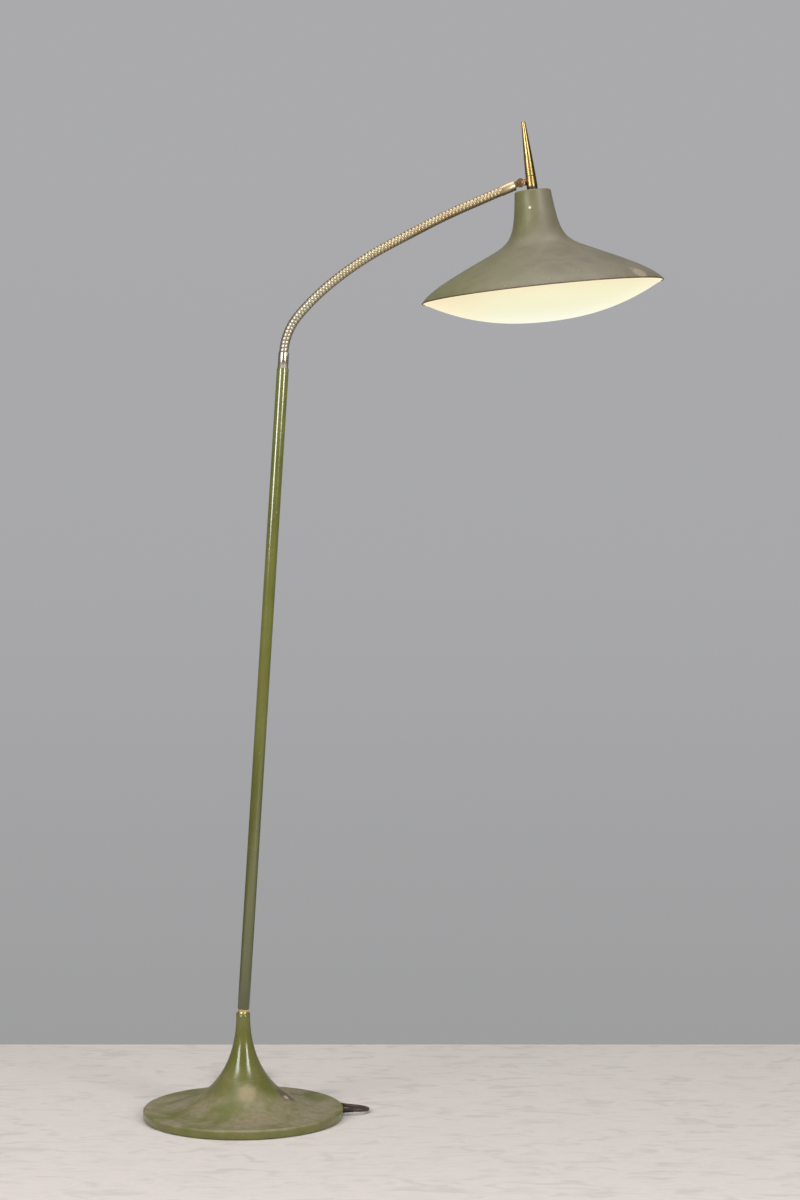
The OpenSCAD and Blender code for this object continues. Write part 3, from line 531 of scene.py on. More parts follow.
def opal_diffuser():
    made, tree, shader, coords = start_finish(
        "opal_diffuser", Roughness=0.3, Emission_Strength=0.87)
    bowl_radius = 0.16
    on_axis = add(tree, "Mapping", {
        "Vector": coords, "Location": tuple(HEAD_TOP), "Rotation": (0, -SHADE_TILT, 0)},
        vector_type="TEXTURE").outputs[0]
    across = add(tree, "SeparateXYZ", {0: on_axis})
    flat = add(tree, "CombineXYZ", {"X": across.outputs["X"], "Y": across.outputs["Y"]}).outputs[0]
    radius = add(tree, "VectorMath", {0: flat}, operation="LENGTH").outputs["Value"]
    share = add(tree, "Math", {0: radius, 1: bowl_radius}, operation="DIVIDE").outputs[0]
    glow = add(tree, "ValToRGB", {"Fac": share}, stops=[
        (0.0, "#F6F5E2"), (0.45, "#F7F6D8"), (0.8, "#F7F4CE"), (1.0, "#F6EBC2")]).outputs["Color"]
    left = add(tree, "MapRange", {
        "Value": across.outputs["X"], "From Min": -0.06, "From Max": -bowl_radius,
        "To Max": 0.6}).outputs[0]
    glow = add(tree, "Mix", {0: left, 6: glow, 7: "#FBE2B4"}, data_type="RGBA").outputs[2]
    tree.links.new(glow, shader.inputs["Emission Color"])
    tree.links.new(mottle(tree, coords, 40, [(0.3, "#6A665C"), (0.7, "#726E62")]),
                   shader.inputs["Base Color"])
    return made


def frosted_bulb():
    made, tree, shader, coords = start_finish(
        "frosted_bulb_glass", Roughness=0.45, Emission_Strength=1.6)
    tree.links.new(mottle(tree, coords, 25, [(0.3, "#FFF0C8"), (0.7, "#FFF7E0")]),
                   shader.inputs["Emission Color"])
    tree.links.new(mottle(tree, coords, 6, [(0.3, "#EDEAE0"), (0.7, "#F6F4EC")]),
                   shader.inputs["Base Color"])
    return made


FINISHES = {
    "olive_paint": olive_enamel(),
    "shade_paint": shade_enamel(),
    "cast_iron": plain_finish("sand_cast_iron", 14, "#3E3C3B", "#2A2827", 0.75, 0.7, 1.5, 0.25),
    "steel": plain_finish("zinc_plated_steel", 9, "#B9B6AB", "#8F8B7E", 0.36, 1.0, 0.8, 0.01),
    "brass": polished_brass("polished_brass"),
    "nickel": bright_nickel(),
    "hose_nickel": worn_hose_nickel(),
    "felt": plain_finish("pressed_felt", 3, "#4A5244", "#363D33", 0.95, 0.0, 0.8, 0.5,
                         Sheen_Weight=0.4),
    "rubber": plain_finish("moulded_rubber", 8, "#2C2420", "#1F1916", 0.6, 0.0, 0.7, 0.04),
    "cord_jacket": plain_finish("cord_jacket_vinyl", 12, "#4A3A2A", "#392C20", 0.42,
                                0.0, 1.0, 0.03),
    "plug_brown": plain_finish("phenolic_plug_moulding", 6, "#4A2E1C", "#341F14", 0.3,
                               0.0, 2.0, 0.01),
    "black_plastic": plain_finish("black_fibre", 7, "#232120", "#171615", 0.5, 0.0, 0.8, 0.03),
    "ceramic": plain_finish("glazed_socket_ceramic", 10, "#E9E2D0", "#DAD2BE", 0.22,
                            0.0, 3.0, 0.02),
    "bulb_glass": frosted_bulb(),
    "diffuser": opal_diffuser(),
}
DUSTY_ENAMEL = dusty_olive_enamel()
REFLECTOR = white_enamel()
HEM_ENAMEL = hem_enamel()
FITTING_BRASS = polished_brass("handled_brass_fitting", "#A08560", "#7C5F3E", 0.3)
# the knob's brass carries a painted shade down its right side
TURNED_BRASS = polished_brass("turned_brass_knob", "#B09A66", "#A08550", 0.3, shaded_side=0.85)
RING_BRASS = polished_brass("turned_brass_ring", "#E2CE98", "#D0B478", 0.3)
own_finishes = (DUSTY_ENAMEL, REFLECTOR, HEM_ENAMEL, FITTING_BRASS, TURNED_BRASS, RING_BRASS)
for row in frame["record"]["subparts"]:
    data = frame["nodes"][row["node"]].data
    data.materials.clear()
    data.materials.append(FINISHES[row["material_slot"]])
power_cord.data.materials.append(FINISHES["cord_jacket"])
print("finishes:", len(FINISHES) + len(own_finishes))


# %% [markdown]
# Most of the lamp is round, so most pieces start as a half profile that is spun
# about its own axis, as the real ones were spun or turned on a lathe. The frame
# of each axis comes from the joints, and a piece ends with its place in its
# mesh, so its object stays at the origin.

# %% Spinning helpers
def along_axis(origin, axis):
    """A frame at an origin whose Z is the axis and whose Y stays the row's Y."""
    z = Vector(axis).normalized()
    x = Vector((0, 1, 0)).cross(z)
    return Matrix.Translation(origin) @ Matrix((x, (0, 1, 0), z)).transposed().to_4x4()


def made_piece(name, bm, finish, place=None, soft_angle=38, more_finishes=()):
    """Turns a bmesh into a smooth piece with its finish, in its place."""
    if place is not None:
        bm.transform(place)
    mesh = bpy.data.meshes.new(name)
    bm.to_mesh(mesh)
    bm.free()
    mesh.shade_smooth()
    mesh.set_sharp_from_angle(angle=math.radians(soft_angle))
    for material in (finish, *more_finishes):
        mesh.materials.append(material)
    piece = bpy.data.objects.new(name, mesh)
    bpy.context.scene.collection.objects.link(piece)
    print(name, len(mesh.polygons), "faces")
    return piece


def spun(profile, steps=128, closed=False):
    """A bmesh of a profile of (radius, height) in mm, spun once round Z."""
    bm = bmesh.new()
    verts = [bm.verts.new((r * MM, 0, z * MM)) for r, z in profile]
    edges = [bm.edges.new(pair) for pair in zip(verts, verts[1:])]
    if closed:
        edges.append(bm.edges.new((verts[-1], verts[0])))
    bmesh.ops.spin(bm, geom=verts + edges, cent=(0, 0, 0), axis=(0, 0, 1),
                   angle=2 * math.pi, steps=steps, use_merge=True)
    bmesh.ops.remove_doubles(bm, verts=bm.verts, dist=1e-6)
    bmesh.ops.recalc_face_normals(bm, faces=bm.faces)
    return bm


def corner(r, z, radius, start, end, count=4):
    """Points of a rounded corner about a centre, from one angle to another in degrees."""
    angles = [math.radians(start + (end - start) * i / count) for i in range(count + 1)]
    return [(r + radius * math.cos(a), z + radius * math.sin(a)) for a in angles]


def walled(piece, thickness_mm, side=-1, **settings):
    """Gives a single-skinned piece its wall, inwards by default."""
    wall = piece.modifiers.new("wall", "SOLIDIFY")
    wall.thickness = thickness_mm * MM
    wall.offset = side
    wall.use_even_offset = True
    for name, value in settings.items():
        setattr(wall, name, value)
    return piece


# %% [markdown]
# The base is one sheet of steel, spun over a former: a trumpet that sweeps down
# into a disc with a rolled lip. The sweep is a superellipse, close to what a
# spinner's roller leaves. A skin of the outer face gets its wall by Solidify,
# as sheet metal has.

# %% Base shell
BASE_R = 133.5
RIM_H = 13.5
NECK_H = 140.0
NECK_R = 9.3
FLARE_R, FLARE_Z = BASE_R - 14, RIM_H - 1.3
FLARE_POWER = 2.2
BASE_WALL = 1.5
FLARE_POINTS = 60


def flare(turn):
    """A point of the trumpet's sweep, from its narrow top at 0 to the disc at 90 degrees."""
    c, s = max(math.cos(turn), 0), math.sin(turn)
    return (NECK_R + (FLARE_R - NECK_R) * (1 - c ** (2 / FLARE_POWER)),
            FLARE_Z + (NECK_H - FLARE_Z) * (1 - s ** (2 / FLARE_POWER)))


base_profile = [flare(math.radians(90 * (i / FLARE_POINTS))) for i in range(FLARE_POINTS + 1)]
base_profile += [(BASE_R - 8, FLARE_Z + 0.1), (BASE_R - 4.6, FLARE_Z + 0.35)]
base_profile += corner(BASE_R - 3.0, RIM_H - 3.4, 3.0, 86, 0, 8)
base_profile += [(BASE_R, 6.0), (BASE_R, 1.6), (BASE_R - 0.4, 0.9)]
base_piece = made_piece("base_shell_spun", spun(base_profile, 180), DUSTY_ENAMEL)
walled(base_piece, BASE_WALL)
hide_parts("base_shell")
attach(base_piece, "stand")

# %% [markdown]
# The post is a drawn tube, and a narrow brass ring with a waisted face parts it
# from the neck. Both lean with the post's axis. Their edges are broken by a
# small round, because a real tube's cut edge catches a thin line of light.

# %% Post and ring
POST_LEAN = math.radians(3.65)
POST_AXIS = Vector((math.sin(POST_LEAN), 0, math.cos(POST_LEAN)))
POST_FRAME = along_axis((0, 0, NECK_H * MM), POST_AXIS)
POST_R, POST_BORE_R = 7.95, 6.75
RING_H = 5.8
POST_LEN = 854
POST_TOP = RING_H + POST_LEN
POST_PARTS = 24

post_profile = [(POST_BORE_R, RING_H + 0.4), (7.2, RING_H + 0.1), (7.6, RING_H),
                (7.85, RING_H + 0.12), (POST_R, RING_H + 0.4)]
post_profile += [(POST_R, RING_H + POST_LEN * i / POST_PARTS) for i in range(1, POST_PARTS)]
post_profile += [(POST_R, POST_TOP - 0.5), (7.8, POST_TOP - 0.1), (7.4, POST_TOP),
                 (POST_BORE_R, POST_TOP)]
post_piece = made_piece("post_tube_painted", spun(post_profile, 64, closed=True),
                        FINISHES["olive_paint"], POST_FRAME)
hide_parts("post_tube")
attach(post_piece, "stand")

ring_profile = [(5.2, -0.8), (7.0, -0.8), (7.5, -0.3), (7.5, 1.0), (7.2, 1.7), (7.1, 2.9),
                (7.2, 4.1), (7.5, 4.8), (7.5, 5.5), (7.1, RING_H), (5.2, RING_H)]
ring_piece = made_piece("brass_ring_turned", spun(ring_profile, 64, closed=True),
                        RING_BRASS, POST_FRAME)
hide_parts("brass_ring")
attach(ring_piece, "stand")

# %% [markdown]
# The ferrules are turned sleeves that the hose is pushed into. The lower one
# has a plain bright barrel, and the upper one a fine line cut near its mouth.
# The hose's own path gives the upper one its place.

# %% The hose's path
HOSE_STEP = 52.5
BENDS = [36, 10, 7, 6, 0, 4, 0]
HOSE_LENGTH = HOSE_STEP * len(BENDS)
LOW_FERRULE = 21
hose_start = Vector((0, 0, NECK_H)) + (POST_TOP + LOW_FERRULE) * POST_AXIS


def hose_path(s):
    """The point and the direction (radians above +X) of the hose's centreline at length s."""
    place, heading = Vector((hose_start.x, hose_start.z)), math.pi / 2 - POST_LEAN
    if s < 0:
        return place + s * Vector((math.cos(heading), math.sin(heading))), heading
    for bend in BENDS:
        run = min(s, HOSE_STEP)
        if bend == 0:
            place = place + run * Vector((math.cos(heading), math.sin(heading)))
        else:
            radius = HOSE_STEP / math.radians(bend)
            turned = heading - run / radius
            place = place + radius * Vector((
                math.sin(heading) - math.sin(turned), math.cos(turned) - math.cos(heading)))
            heading = turned
        s -= run
        if s <= 0:
            return place, heading
    return place + s * Vector((math.cos(heading), math.sin(heading))), heading


def hose_frame(s):
    """A frame on the hose's centreline at length s, its Z along the hose."""
    place, heading = hose_path(s)
    return along_axis((place.x * MM, 0, place.y * MM), (math.cos(heading), 0, math.sin(heading)))


BEND_NAMES = [f"arm_{way}_{k}" for k in (1, 2, 3) for way in ("bend", "swing")]
worst = max((Vector(joints[n]["pos_m"]) - hose_frame(HOSE_STEP * (i + 1)).translation).length
            for i, n in enumerate(BEND_NAMES))
print("path to joints:", round(worst * 1000, 3), "mm")

# %% Ferrules
low_profile = [(r, POST_TOP + z) for r, z in (
    (6.3, 0.05), (6.9, 0), (7.1, 0.3), (7.1, 20.2), (6.9, 20.8), (6.5, LOW_FERRULE), (6.3, 20.8))]
low_ferrule = made_piece("lower_ferrule_turned", spun(low_profile, 64, closed=True),
                         FINISHES["nickel"], POST_FRAME)
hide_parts("lower_ferrule")
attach(low_ferrule, "stand")

TIP_FERRULE = 20.5
tip_profile = [(6.3, 0.1), (6.5, 0), (6.7, 0.4), (6.7, 3.0), (6.5, 3.2), (6.5, 3.6), (6.7, 3.8),
               (6.7, TIP_FERRULE - 0.8), (6.3, TIP_FERRULE - 0.1), (5.7, TIP_FERRULE),
               (3.05, TIP_FERRULE), (3.05, TIP_FERRULE - 4), (6.3, TIP_FERRULE - 4)]
tip_ferrule = made_piece("upper_ferrule_turned", spun(tip_profile, 64, closed=True),
                         FINISHES["hose_nickel"], hose_frame(HOSE_LENGTH))
tip_layer = tip_ferrule.data.attributes.new("hose_along", "FLOAT", "POINT")
tip_layer.data.foreach_set("value", [1.0] * len(tip_ferrule.data.vertices))
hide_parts("upper_ferrule")
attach(tip_ferrule, "arm_tip")

# %% [markdown]
# The gooseneck is a steel wire wound into a tight coil, so its surface is one
# long screw of rounded ridges, 5 mm apart. One turn's profile is spun with a
# rise per step, which is how a coil is wound, and that gives a true helix. The
# straight hose is cut half-way between the joints, and each length is laid on
# the bent path across its own joint. Each point also keeps how far along the
# hose it is, and how deep in the groove, for the finish.

# %% Gooseneck
HOSE_R = 6.25
PITCH = 5.0
GROOVE = 0.5
TAIL = 8.0
HOSE_STEPS = 32
TURN_SHARE = 0.46


def wound_hose():
    """A straight wound hose as a bmesh, longer than needed at both ends, in mm."""
    bm = bmesh.new()
    start = -TAIL - 2 * PITCH
    turns = math.ceil((HOSE_LENGTH + 2 * TAIL + 3 * PITCH) / PITCH)
    verts = []
    for t in (0, 0.07, 0.18, 0.34, 0.5, 0.66, 0.82, 0.93, 1):
        radius = HOSE_R - GROOVE * abs(2 * t - 1) ** 2.4
        verts.append(bm.verts.new((radius, 0, start + t * PITCH)))
    edges = [bm.edges.new(pair) for pair in zip(verts, verts[1:])]
    steps = HOSE_STEPS * turns
    bmesh.ops.spin(bm, geom=verts + edges, cent=(0, 0, 0), axis=(0, 0, 1),
                   angle=2 * math.pi * turns, steps=steps, dvec=(0, 0, PITCH / HOSE_STEPS))
    bmesh.ops.remove_doubles(bm, verts=bm.verts, dist=0.005)
    bmesh.ops.recalc_face_normals(bm, faces=bm.faces)
    return bm


def cut_length(whole, low, high):
    """The part of a hose between two heights, its ends closed."""
    bm = whole.copy()
    for height, side in ((low, -1), (high, 1)):
        cut = bmesh.ops.bisect_plane(
            bm, geom=bm.verts[:] + bm.edges[:] + bm.faces[:], plane_co=(0, 0, height),
            plane_no=(0, 0, side), dist=1e-5, clear_outer=True)
        rim = [e for e in cut["geom_cut"] if isinstance(e, bmesh.types.BMEdge)]
        bmesh.ops.edgeloop_fill(bm, edges=rim)
    return bm


hose_bm = wound_hose()
arm_bodies = ["stand", "arm_1", "arm_2", "arm_3", "arm_4", "arm_5", "arm_tip"]
LENGTHS = len(arm_bodies) - 1
hose_ends = [-TAIL] + [HOSE_STEP * (k + 0.5) for k in range(1, LENGTHS)] + [HOSE_LENGTH + TAIL]
for k in range(LENGTHS):
    bm = cut_length(hose_bm, hose_ends[k], hose_ends[k + 1])
    along_layer = bm.verts.layers.float.new("hose_along")
    groove_layer = bm.verts.layers.float.new("hose_groove")
    for v in bm.verts:
        v[along_layer] = v.co.z / HOSE_LENGTH
        v[groove_layer] = (HOSE_R - Vector((v.co.x, v.co.y)).length) / GROOVE
        s = v.co.z
        v.co = hose_frame(s) @ (Vector((v.co.x, v.co.y, 0)) * MM)
    length = made_piece(f"gooseneck_length_{k + 1}", bm, FINISHES["hose_nickel"],
                        soft_angle=60)
    middle = HOSE_STEP * (k + 1)
    hose_frame(middle - TURN_SHARE * HOSE_STEP).translation
    hose_frame(middle + TURN_SHARE * HOSE_STEP).translation
    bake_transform(length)
    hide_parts(*(["gooseneck_1", "gooseneck_2"] if k == 0 else [f"gooseneck_{k + 2}"]))
hose_bm.free()

# %% [markdown]
# The swivel's two halves, its screw and its nut keep the shapes of the frame,
# with their edges broken. A copy of each mesh is merged, its flat faces are
# joined again, and its sharp edges are bevelled, which is how a machinist
# finishes a small brass part.

# %% Softened copies
def softened(node, width_mm, finish, body):
    """A copy of a CAD node with its sharp edges bevelled, in its place."""
    bm = bmesh.new()
    bm.from_mesh(frame["nodes"][node].data)
    bmesh.ops.remove_doubles(bm, verts=bm.verts, dist=2e-6)
    bmesh.ops.dissolve_limit(bm, angle_limit=math.radians(2), verts=bm.verts, edges=bm.edges)
    sharp = [e for e in bm.edges
             if len(e.link_faces) == 2 and e.calc_face_angle() > math.radians(40)]
    bmesh.ops.bevel(bm, geom=sharp, offset=width_mm * MM, offset_type="OFFSET", affect="EDGES",
                    segments=2, profile=0.5, material=-1, clamp_overlap=True)
    piece = made_piece(node + "_soft", bm, finish)
    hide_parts(node)
    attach(piece, body)


softened("swivel_arm_half", 0.35, FITTING_BRASS, "arm_tip")
softened("swivel_head_half", 0.35, FITTING_BRASS, "head")
softened("swivel_screw", 0.25, FITTING_BRASS, "arm_tip")
softened("swivel_nut", 0.2, FITTING_BRASS, "arm_tip")

# %% [markdown]
# The hub and the knob make one long cone of turned brass. Only the part above a
# hairline gap turns, and works the switch. A cone on a lathe is a straight or
# slightly bowed line, so the profile follows one formula from foot to tip.

# %% Hub and knob
STEM_FRAME = along_axis(HEAD_TOP, STEM_AXIS)
HUB_LOW, HUB_HIGH = 4.6, 18.6
KNOB_LOW, KNOB_HIGH = 18.95, 91.1
KNOB_R, KNOB_TIP_R, KNOB_LEN = 7.3, 2.5, 86.5
SHAFT_R, NIPPLE_R = 1.7, 5.1
TIP_ROUND = 1.4


def taper(s):
    """Radius of the hub and knob at height s on the stem."""
    return KNOB_R - (KNOB_R - KNOB_TIP_R) * ((s - HUB_LOW) / KNOB_LEN) ** 1.3


hub_profile = [(NIPPLE_R, HUB_LOW), (KNOB_R - 0.5, HUB_LOW), (KNOB_R - 0.1, HUB_LOW + 0.25)]
hub_profile += [(taper(s), s) for s in (HUB_LOW + 0.8, 8, 11, 14, HUB_HIGH - 0.35)]
hub_profile += [(taper(HUB_HIGH) - 0.3, HUB_HIGH), (SHAFT_R, HUB_HIGH), (SHAFT_R, 12.5),
                (NIPPLE_R, 12.0)]
hub_piece = made_piece("hub_turned", spun(hub_profile, 96, closed=True),
                       TURNED_BRASS, STEM_FRAME)
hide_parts("hub")
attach(hub_piece, "head")

tip_r = taper(KNOB_HIGH - TIP_ROUND)
knob_profile = [(0, KNOB_LOW + 1.2), (SHAFT_R, KNOB_LOW + 1.2), (SHAFT_R, KNOB_LOW),
                (taper(KNOB_LOW) - 0.3, KNOB_LOW), (taper(KNOB_LOW), KNOB_LOW + 0.35)]
knob_profile += [(taper(s), s) for s in [KNOB_LOW + 2 + 3.6 * i for i in range(19)]]
knob_profile += [(tip_r * math.cos(a), KNOB_HIGH - TIP_ROUND + TIP_ROUND * math.sin(a))
                 for a in [math.radians(15 * i) for i in range(6)]] + [(0, KNOB_HIGH)]
knob_piece = made_piece("knob_turned", spun(knob_profile, 96), TURNED_BRASS, STEM_FRAME)
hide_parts("knob")
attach(knob_piece, "switch_knob")

# %% [markdown]
# The shade was spun from sheet: a narrow neck under a flat cap, a tight waist
# and a wide skirt, in one line of two smooth curves. Its rim is turned back in
# a small hem that stiffens it. The skin gets its wall inwards, and the wall's
# inner face takes the white enamel.

# %% Shade
RIM_R, CAP_R, SHADE_H = 160.0, 24.1, 133.5
SHADE_WALL = 1.2
CAP_ROUND, CAP_HOLE_R = 3, 10.5 / 2 + 0.3
SPREAD = RIM_R - CAP_R
WAIST = (CAP_R + 0.279 * SPREAD, 0.412 * SHADE_H - SHADE_H)
SHADE_FRAME = along_axis(HEAD_TOP, SHADE_AXIS)


def bezier(points, count):
    """Points along a cubic curve, without its first one."""
    rows = []
    for i in range(1, count + 1):
        t = i / count
        weights = ((1 - t) ** 3, 3 * (1 - t) ** 2 * t, 3 * (1 - t) * t * t, t ** 3)
        rows.append(tuple(sum(w * p[axis] for w, p in zip(weights, points)) for axis in (0, 1)))
    return rows


shade_profile = [(CAP_HOLE_R, 0.0), (12, 0.0), (18, 0.0)]
shade_profile += corner(CAP_R - CAP_ROUND, -CAP_ROUND, CAP_ROUND, 90, 0, 8)
shade_profile += bezier([(CAP_R, -CAP_ROUND), (CAP_R + 0.042 * SPREAD, -0.417 * SHADE_H),
                         (WAIST[0] - 0.213 * SPREAD, WAIST[1] + 0.1 * SHADE_H), WAIST], 32)
shade_profile += bezier([WAIST, (WAIST[0] + 0.306 * SPREAD, 0.268 * SHADE_H - SHADE_H),
                         (RIM_R - 0.087 * SPREAD, 0.129 * SHADE_H - SHADE_H),
                         (RIM_R, -SHADE_H)], 32)
shade_piece = made_piece("shade_spun", spun(shade_profile, 180), FINISHES["shade_paint"],
                         SHADE_FRAME, more_finishes=[REFLECTOR])
walled(shade_piece, SHADE_WALL, material_offset=1, material_offset_rim=0)
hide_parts("shade")
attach(shade_piece, "head")

HEM_R = 0.85
hem_profile = corner(RIM_R - 0.75, -SHADE_H + 0.1, HEM_R, 0, 330, 11)
hem_piece = made_piece("shade_hem", spun(hem_profile, 180, closed=True),
                       HEM_ENAMEL, SHADE_FRAME)
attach(hem_piece, "head")

# %% [markdown]
# The diffuser is a shallow bowl of opal plastic, drawn down in a smooth curve
# that is steepest at its edge, with a collar that the clips grip. It is lit, so
# it glows. The skin gets its wall upwards.

# %% Diffuser
BOWL_R = RIM_R - 3
BOWL_TOP = -SHADE_H - 0.4
BOWL_DEPTH = 38.5
BOWL_WALL = 1.8
COLLAR_R = RIM_R - 17


def bowl_z(r):
    """Height of the bowl's outer face at a radius."""
    return BOWL_TOP - BOWL_DEPTH * (1 - (r / BOWL_R) ** 2.3)


bowl_radii = [BOWL_R * math.sin(math.radians(90 * i / 40)) for i in range(40, -1, -1)]
bowl_profile = [(BOWL_R - 1.8, BOWL_TOP + 0.5), (BOWL_R - 0.5, BOWL_TOP + 0.35)]
bowl_profile += [(r, bowl_z(r)) for r in bowl_radii]
bowl_piece = made_piece("diffuser_bowl_opal", spun(bowl_profile, 160), FINISHES["diffuser"],
                        SHADE_FRAME, soft_angle=60)
walled(bowl_piece, BOWL_WALL)
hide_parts("diffuser")
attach(bowl_piece, "diffuser_bowl")

collar_profile = [(COLLAR_R, bowl_z(COLLAR_R) + 1.2), (COLLAR_R, BOWL_TOP + 6.9),
                  (COLLAR_R - 0.6, BOWL_TOP + 7.5), (COLLAR_R - 1.4, BOWL_TOP + 7.5),
                  (COLLAR_R - 2, BOWL_TOP + 6.9), (COLLAR_R - 2, bowl_z(COLLAR_R - 2) + 1.2)]
collar_piece = made_piece("diffuser_collar", spun(collar_profile, 160, closed=True),
                          FINISHES["diffuser"], SHADE_FRAME)
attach(collar_piece, "diffuser_bowl")

# %% [markdown]
# The strain relief is moulded rubber: a flange against the base's wall, then a
# taper with grooves that let it bend gently with the cord. It is turned about
# the cord's own line, so it is spun too.

# %% Strain relief
EXIT_TURN = math.radians(4)
EXIT_DIR = Vector((math.cos(EXIT_TURN), math.sin(EXIT_TURN), 0))
exit_x = Vector((0, 0, 1)).cross(EXIT_DIR)
exit_place = Matrix.Translation(Vector((BASE_R * EXIT_DIR.x, BASE_R * EXIT_DIR.y, 7)) * MM)
exit_frame = exit_place @ Matrix((exit_x, (0, 0, 1), EXIT_DIR)).transposed().to_4x4()
RELIEF_BORE_R, RELIEF_NECK_R = 2.55, 3.4
RELIEF_GROOVES, GROOVE_STEP, GROOVE_DEPTH = 4, 2.5, 0.5
relief_profile = [(RELIEF_BORE_R, -10), (3.3, -10), (RELIEF_NECK_R, -9.6), (RELIEF_NECK_R, -0.1),
                  (4.1, 0.0), (4.3, 0.3), (4.3, 1.3), (4.0, 1.6), (3.5, 1.7)]
for i in range(RELIEF_GROOVES):
    s = 3.0 + GROOVE_STEP * i
    outer = RELIEF_NECK_R - 0.4 * (s - 2) / 12
    inner = outer - GROOVE_DEPTH
    relief_profile += [(outer, s), (inner, s + 0.3), (inner, s + 0.8), (outer - 0.05, s + 1.1)]
relief_profile += [(3.05, 13.2), (2.9, 13.8), (RELIEF_BORE_R, 14.0)]
relief_piece = made_piece("cord_relief_boot", spun(relief_profile, 40, closed=True),
                          FINISHES["rubber"], exit_frame)
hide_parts("cord_relief")
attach(relief_piece, "stand")

# %% [markdown]
# The plug is a two-pin moulding. It starts as one eight-sided face at the cord's
# end, which is extruded and scaled section by section: a sleeve, shoulders,
# three finger grooves and the flat front. A section is its place along the plug,
# its width and its height. A subdivision surface rounds the whole.

# %% Plug
PLUG_TURN = math.radians(6)
PLUG_FRAME = (Matrix.Translation(Vector(TAIL_ROUTE[-1]) * MM)
              @ Matrix.Rotation(PLUG_TURN, 4, "Z"))
SECTIONS = [
    (0.0, 7.0, 7.0), (0.5, 8.6, 8.6), (4.0, 10.2, 9.2), (8.0, 14.6, 10.0), (12.5, 21.0, 11.0),
    (14.5, 22.4, 11.2), (15.2, 22.2, 9.8), (16.4, 22.2, 9.8), (17.1, 23.2, 11.4),
    (18.4, 23.4, 11.4), (19.1, 22.6, 9.8), (20.3, 22.6, 9.8), (21.0, 23.6, 11.6),
    (22.3, 23.7, 11.6), (23.0, 22.8, 9.8), (24.2, 22.8, 9.8), (24.9, 23.8, 11.8),
    (29.2, 23.8, 11.8), (29.9, 23.2, 11.2)]
CUT_CORNERS = [(1, 0.55), (0.72, 1), (-0.72, 1), (-1, 0.55),
               (-1, -0.55), (-0.72, -1), (0.72, -1), (1, -0.55)]
plug_bm = bmesh.new()
first_width, first_height = SECTIONS[0][1] / 2 * MM, SECTIONS[0][2] / 2 * MM
start_face = plug_bm.faces.new([
    plug_bm.verts.new((x * first_width, 0, z * first_height)) for x, z in CUT_CORNERS])
ring = list(start_face.edges)
for before, after in zip(SECTIONS, SECTIONS[1:]):
    grown = bmesh.ops.extrude_edge_only(plug_bm, edges=ring)["geom"]
    front = [v for v in grown if isinstance(v, bmesh.types.BMVert)]
    bmesh.ops.translate(plug_bm, verts=front, vec=(0, (after[0] - before[0]) * MM, 0))
    bmesh.ops.scale(plug_bm, verts=front, vec=(after[1] / before[1], 1, after[2] / before[2]))
    ring = [e for e in grown
            if isinstance(e, bmesh.types.BMEdge) and all(v in front for v in e.verts)]
bmesh.ops.edgeloop_fill(plug_bm, edges=ring)
for end_face in [f for f in plug_bm.faces if len(f.verts) == 8]:
    bmesh.ops.inset_individual(plug_bm, faces=[end_face], thickness=0.35 * MM)
bmesh.ops.recalc_face_normals(plug_bm, faces=plug_bm.faces)
plug_piece = made_piece("plug_moulded", plug_bm, FINISHES["plug_brown"],
                        PLUG_FRAME, soft_angle=60)
rounding = plug_piece.modifiers.new("rounding", "SUBSURF")
rounding.levels = rounding.render_levels = 2
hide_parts("plug_body")
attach(plug_piece, "stand")

# %% [markdown]
# Two flat brass blades stand half an inch apart in its face. Each is a stretched
# cube with its edges broken.

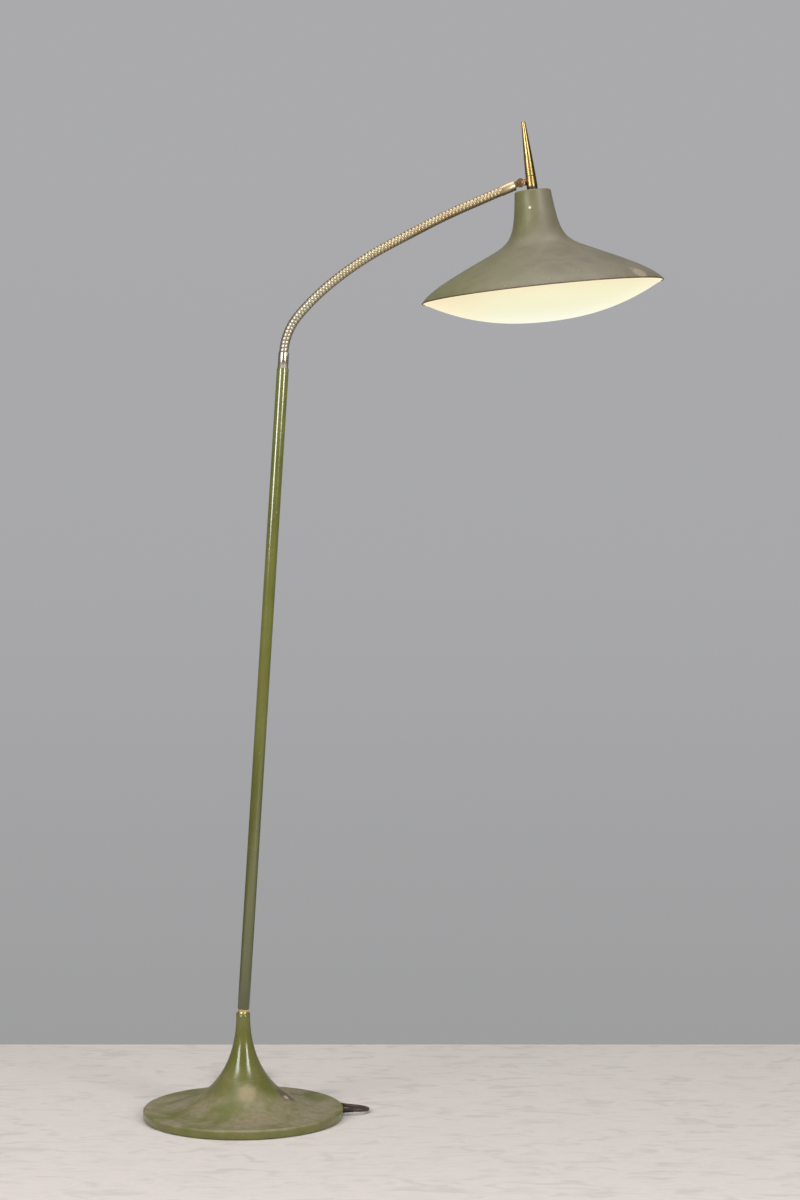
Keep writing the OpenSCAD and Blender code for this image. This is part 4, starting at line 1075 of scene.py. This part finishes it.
# %% Plug blades
BLADE_SIZE = Vector((1.5, 17.0, 6.3)) * MM
blades_bm = bmesh.new()
for side in (-1, 1):
    blade = bmesh.ops.create_cube(blades_bm, size=1.0, matrix=Matrix.LocRotScale(
        Vector((side * 6.35, 38.3, 0)) * MM, None, BLADE_SIZE))["verts"]
    tip_edges = {e for v in blade for e in v.link_edges}
    bmesh.ops.bevel(blades_bm, geom=list(tip_edges), offset=0.4 * MM, offset_type="OFFSET",
                    affect="EDGES", segments=2, profile=0.5, material=-1)
blades_piece = made_piece("plug_blades", blades_bm, FINISHES["brass"], PLUG_FRAME)
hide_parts("plug_pins")
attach(blades_piece, "stand")

# %% [markdown]
# A rubber band holds the hank. It starts as a rounded rectangle that wraps the
# layers, extruded to the band's width, and Solidify gives it its thickness.

# %% Hank strap
STRAP_HALF, STRAP_TOP, STRAP_WIDE, STRAP_ROUND = 28.3, 16.6, 12.0, 6.5
strap_line = corner(STRAP_HALF - STRAP_ROUND, STRAP_TOP - STRAP_ROUND, STRAP_ROUND, 0, 90, 6)
strap_line += corner(-STRAP_HALF + STRAP_ROUND, STRAP_TOP - STRAP_ROUND, STRAP_ROUND, 90, 180, 6)
strap_line += corner(-STRAP_HALF + 3, 3.1, 3, 180, 270, 4)
strap_line += corner(STRAP_HALF - 3, 3.1, 3, 270, 360, 4)
strap_bm = bmesh.new()
strap_verts = [strap_bm.verts.new((x * MM, -STRAP_WIDE / 2 * MM, z * MM)) for x, z in strap_line]
strap_edges = [strap_bm.edges.new(pair)
               for pair in zip(strap_verts, strap_verts[1:] + strap_verts[:1])]
wide = bmesh.ops.extrude_edge_only(strap_bm, edges=strap_edges)["geom"]
bmesh.ops.translate(strap_bm, verts=[v for v in wide if isinstance(v, bmesh.types.BMVert)],
                    vec=(0, STRAP_WIDE * MM, 0))
bmesh.ops.recalc_face_normals(strap_bm, faces=strap_bm.faces)
strap_place = (Matrix.Translation((*[c * MM for c in HANK_CENTRE], 0))
               @ Matrix.Rotation(HANK_TURN, 4, "Z"))
strap_piece = made_piece("hank_strap", strap_bm, FINISHES["rubber"], strap_place)
walled(strap_piece, 0.8)
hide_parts("hank_tie")
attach(strap_piece, "stand")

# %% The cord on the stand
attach(power_cord, "stand")
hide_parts("supply_cord", "cord_hank", "cord_tail")
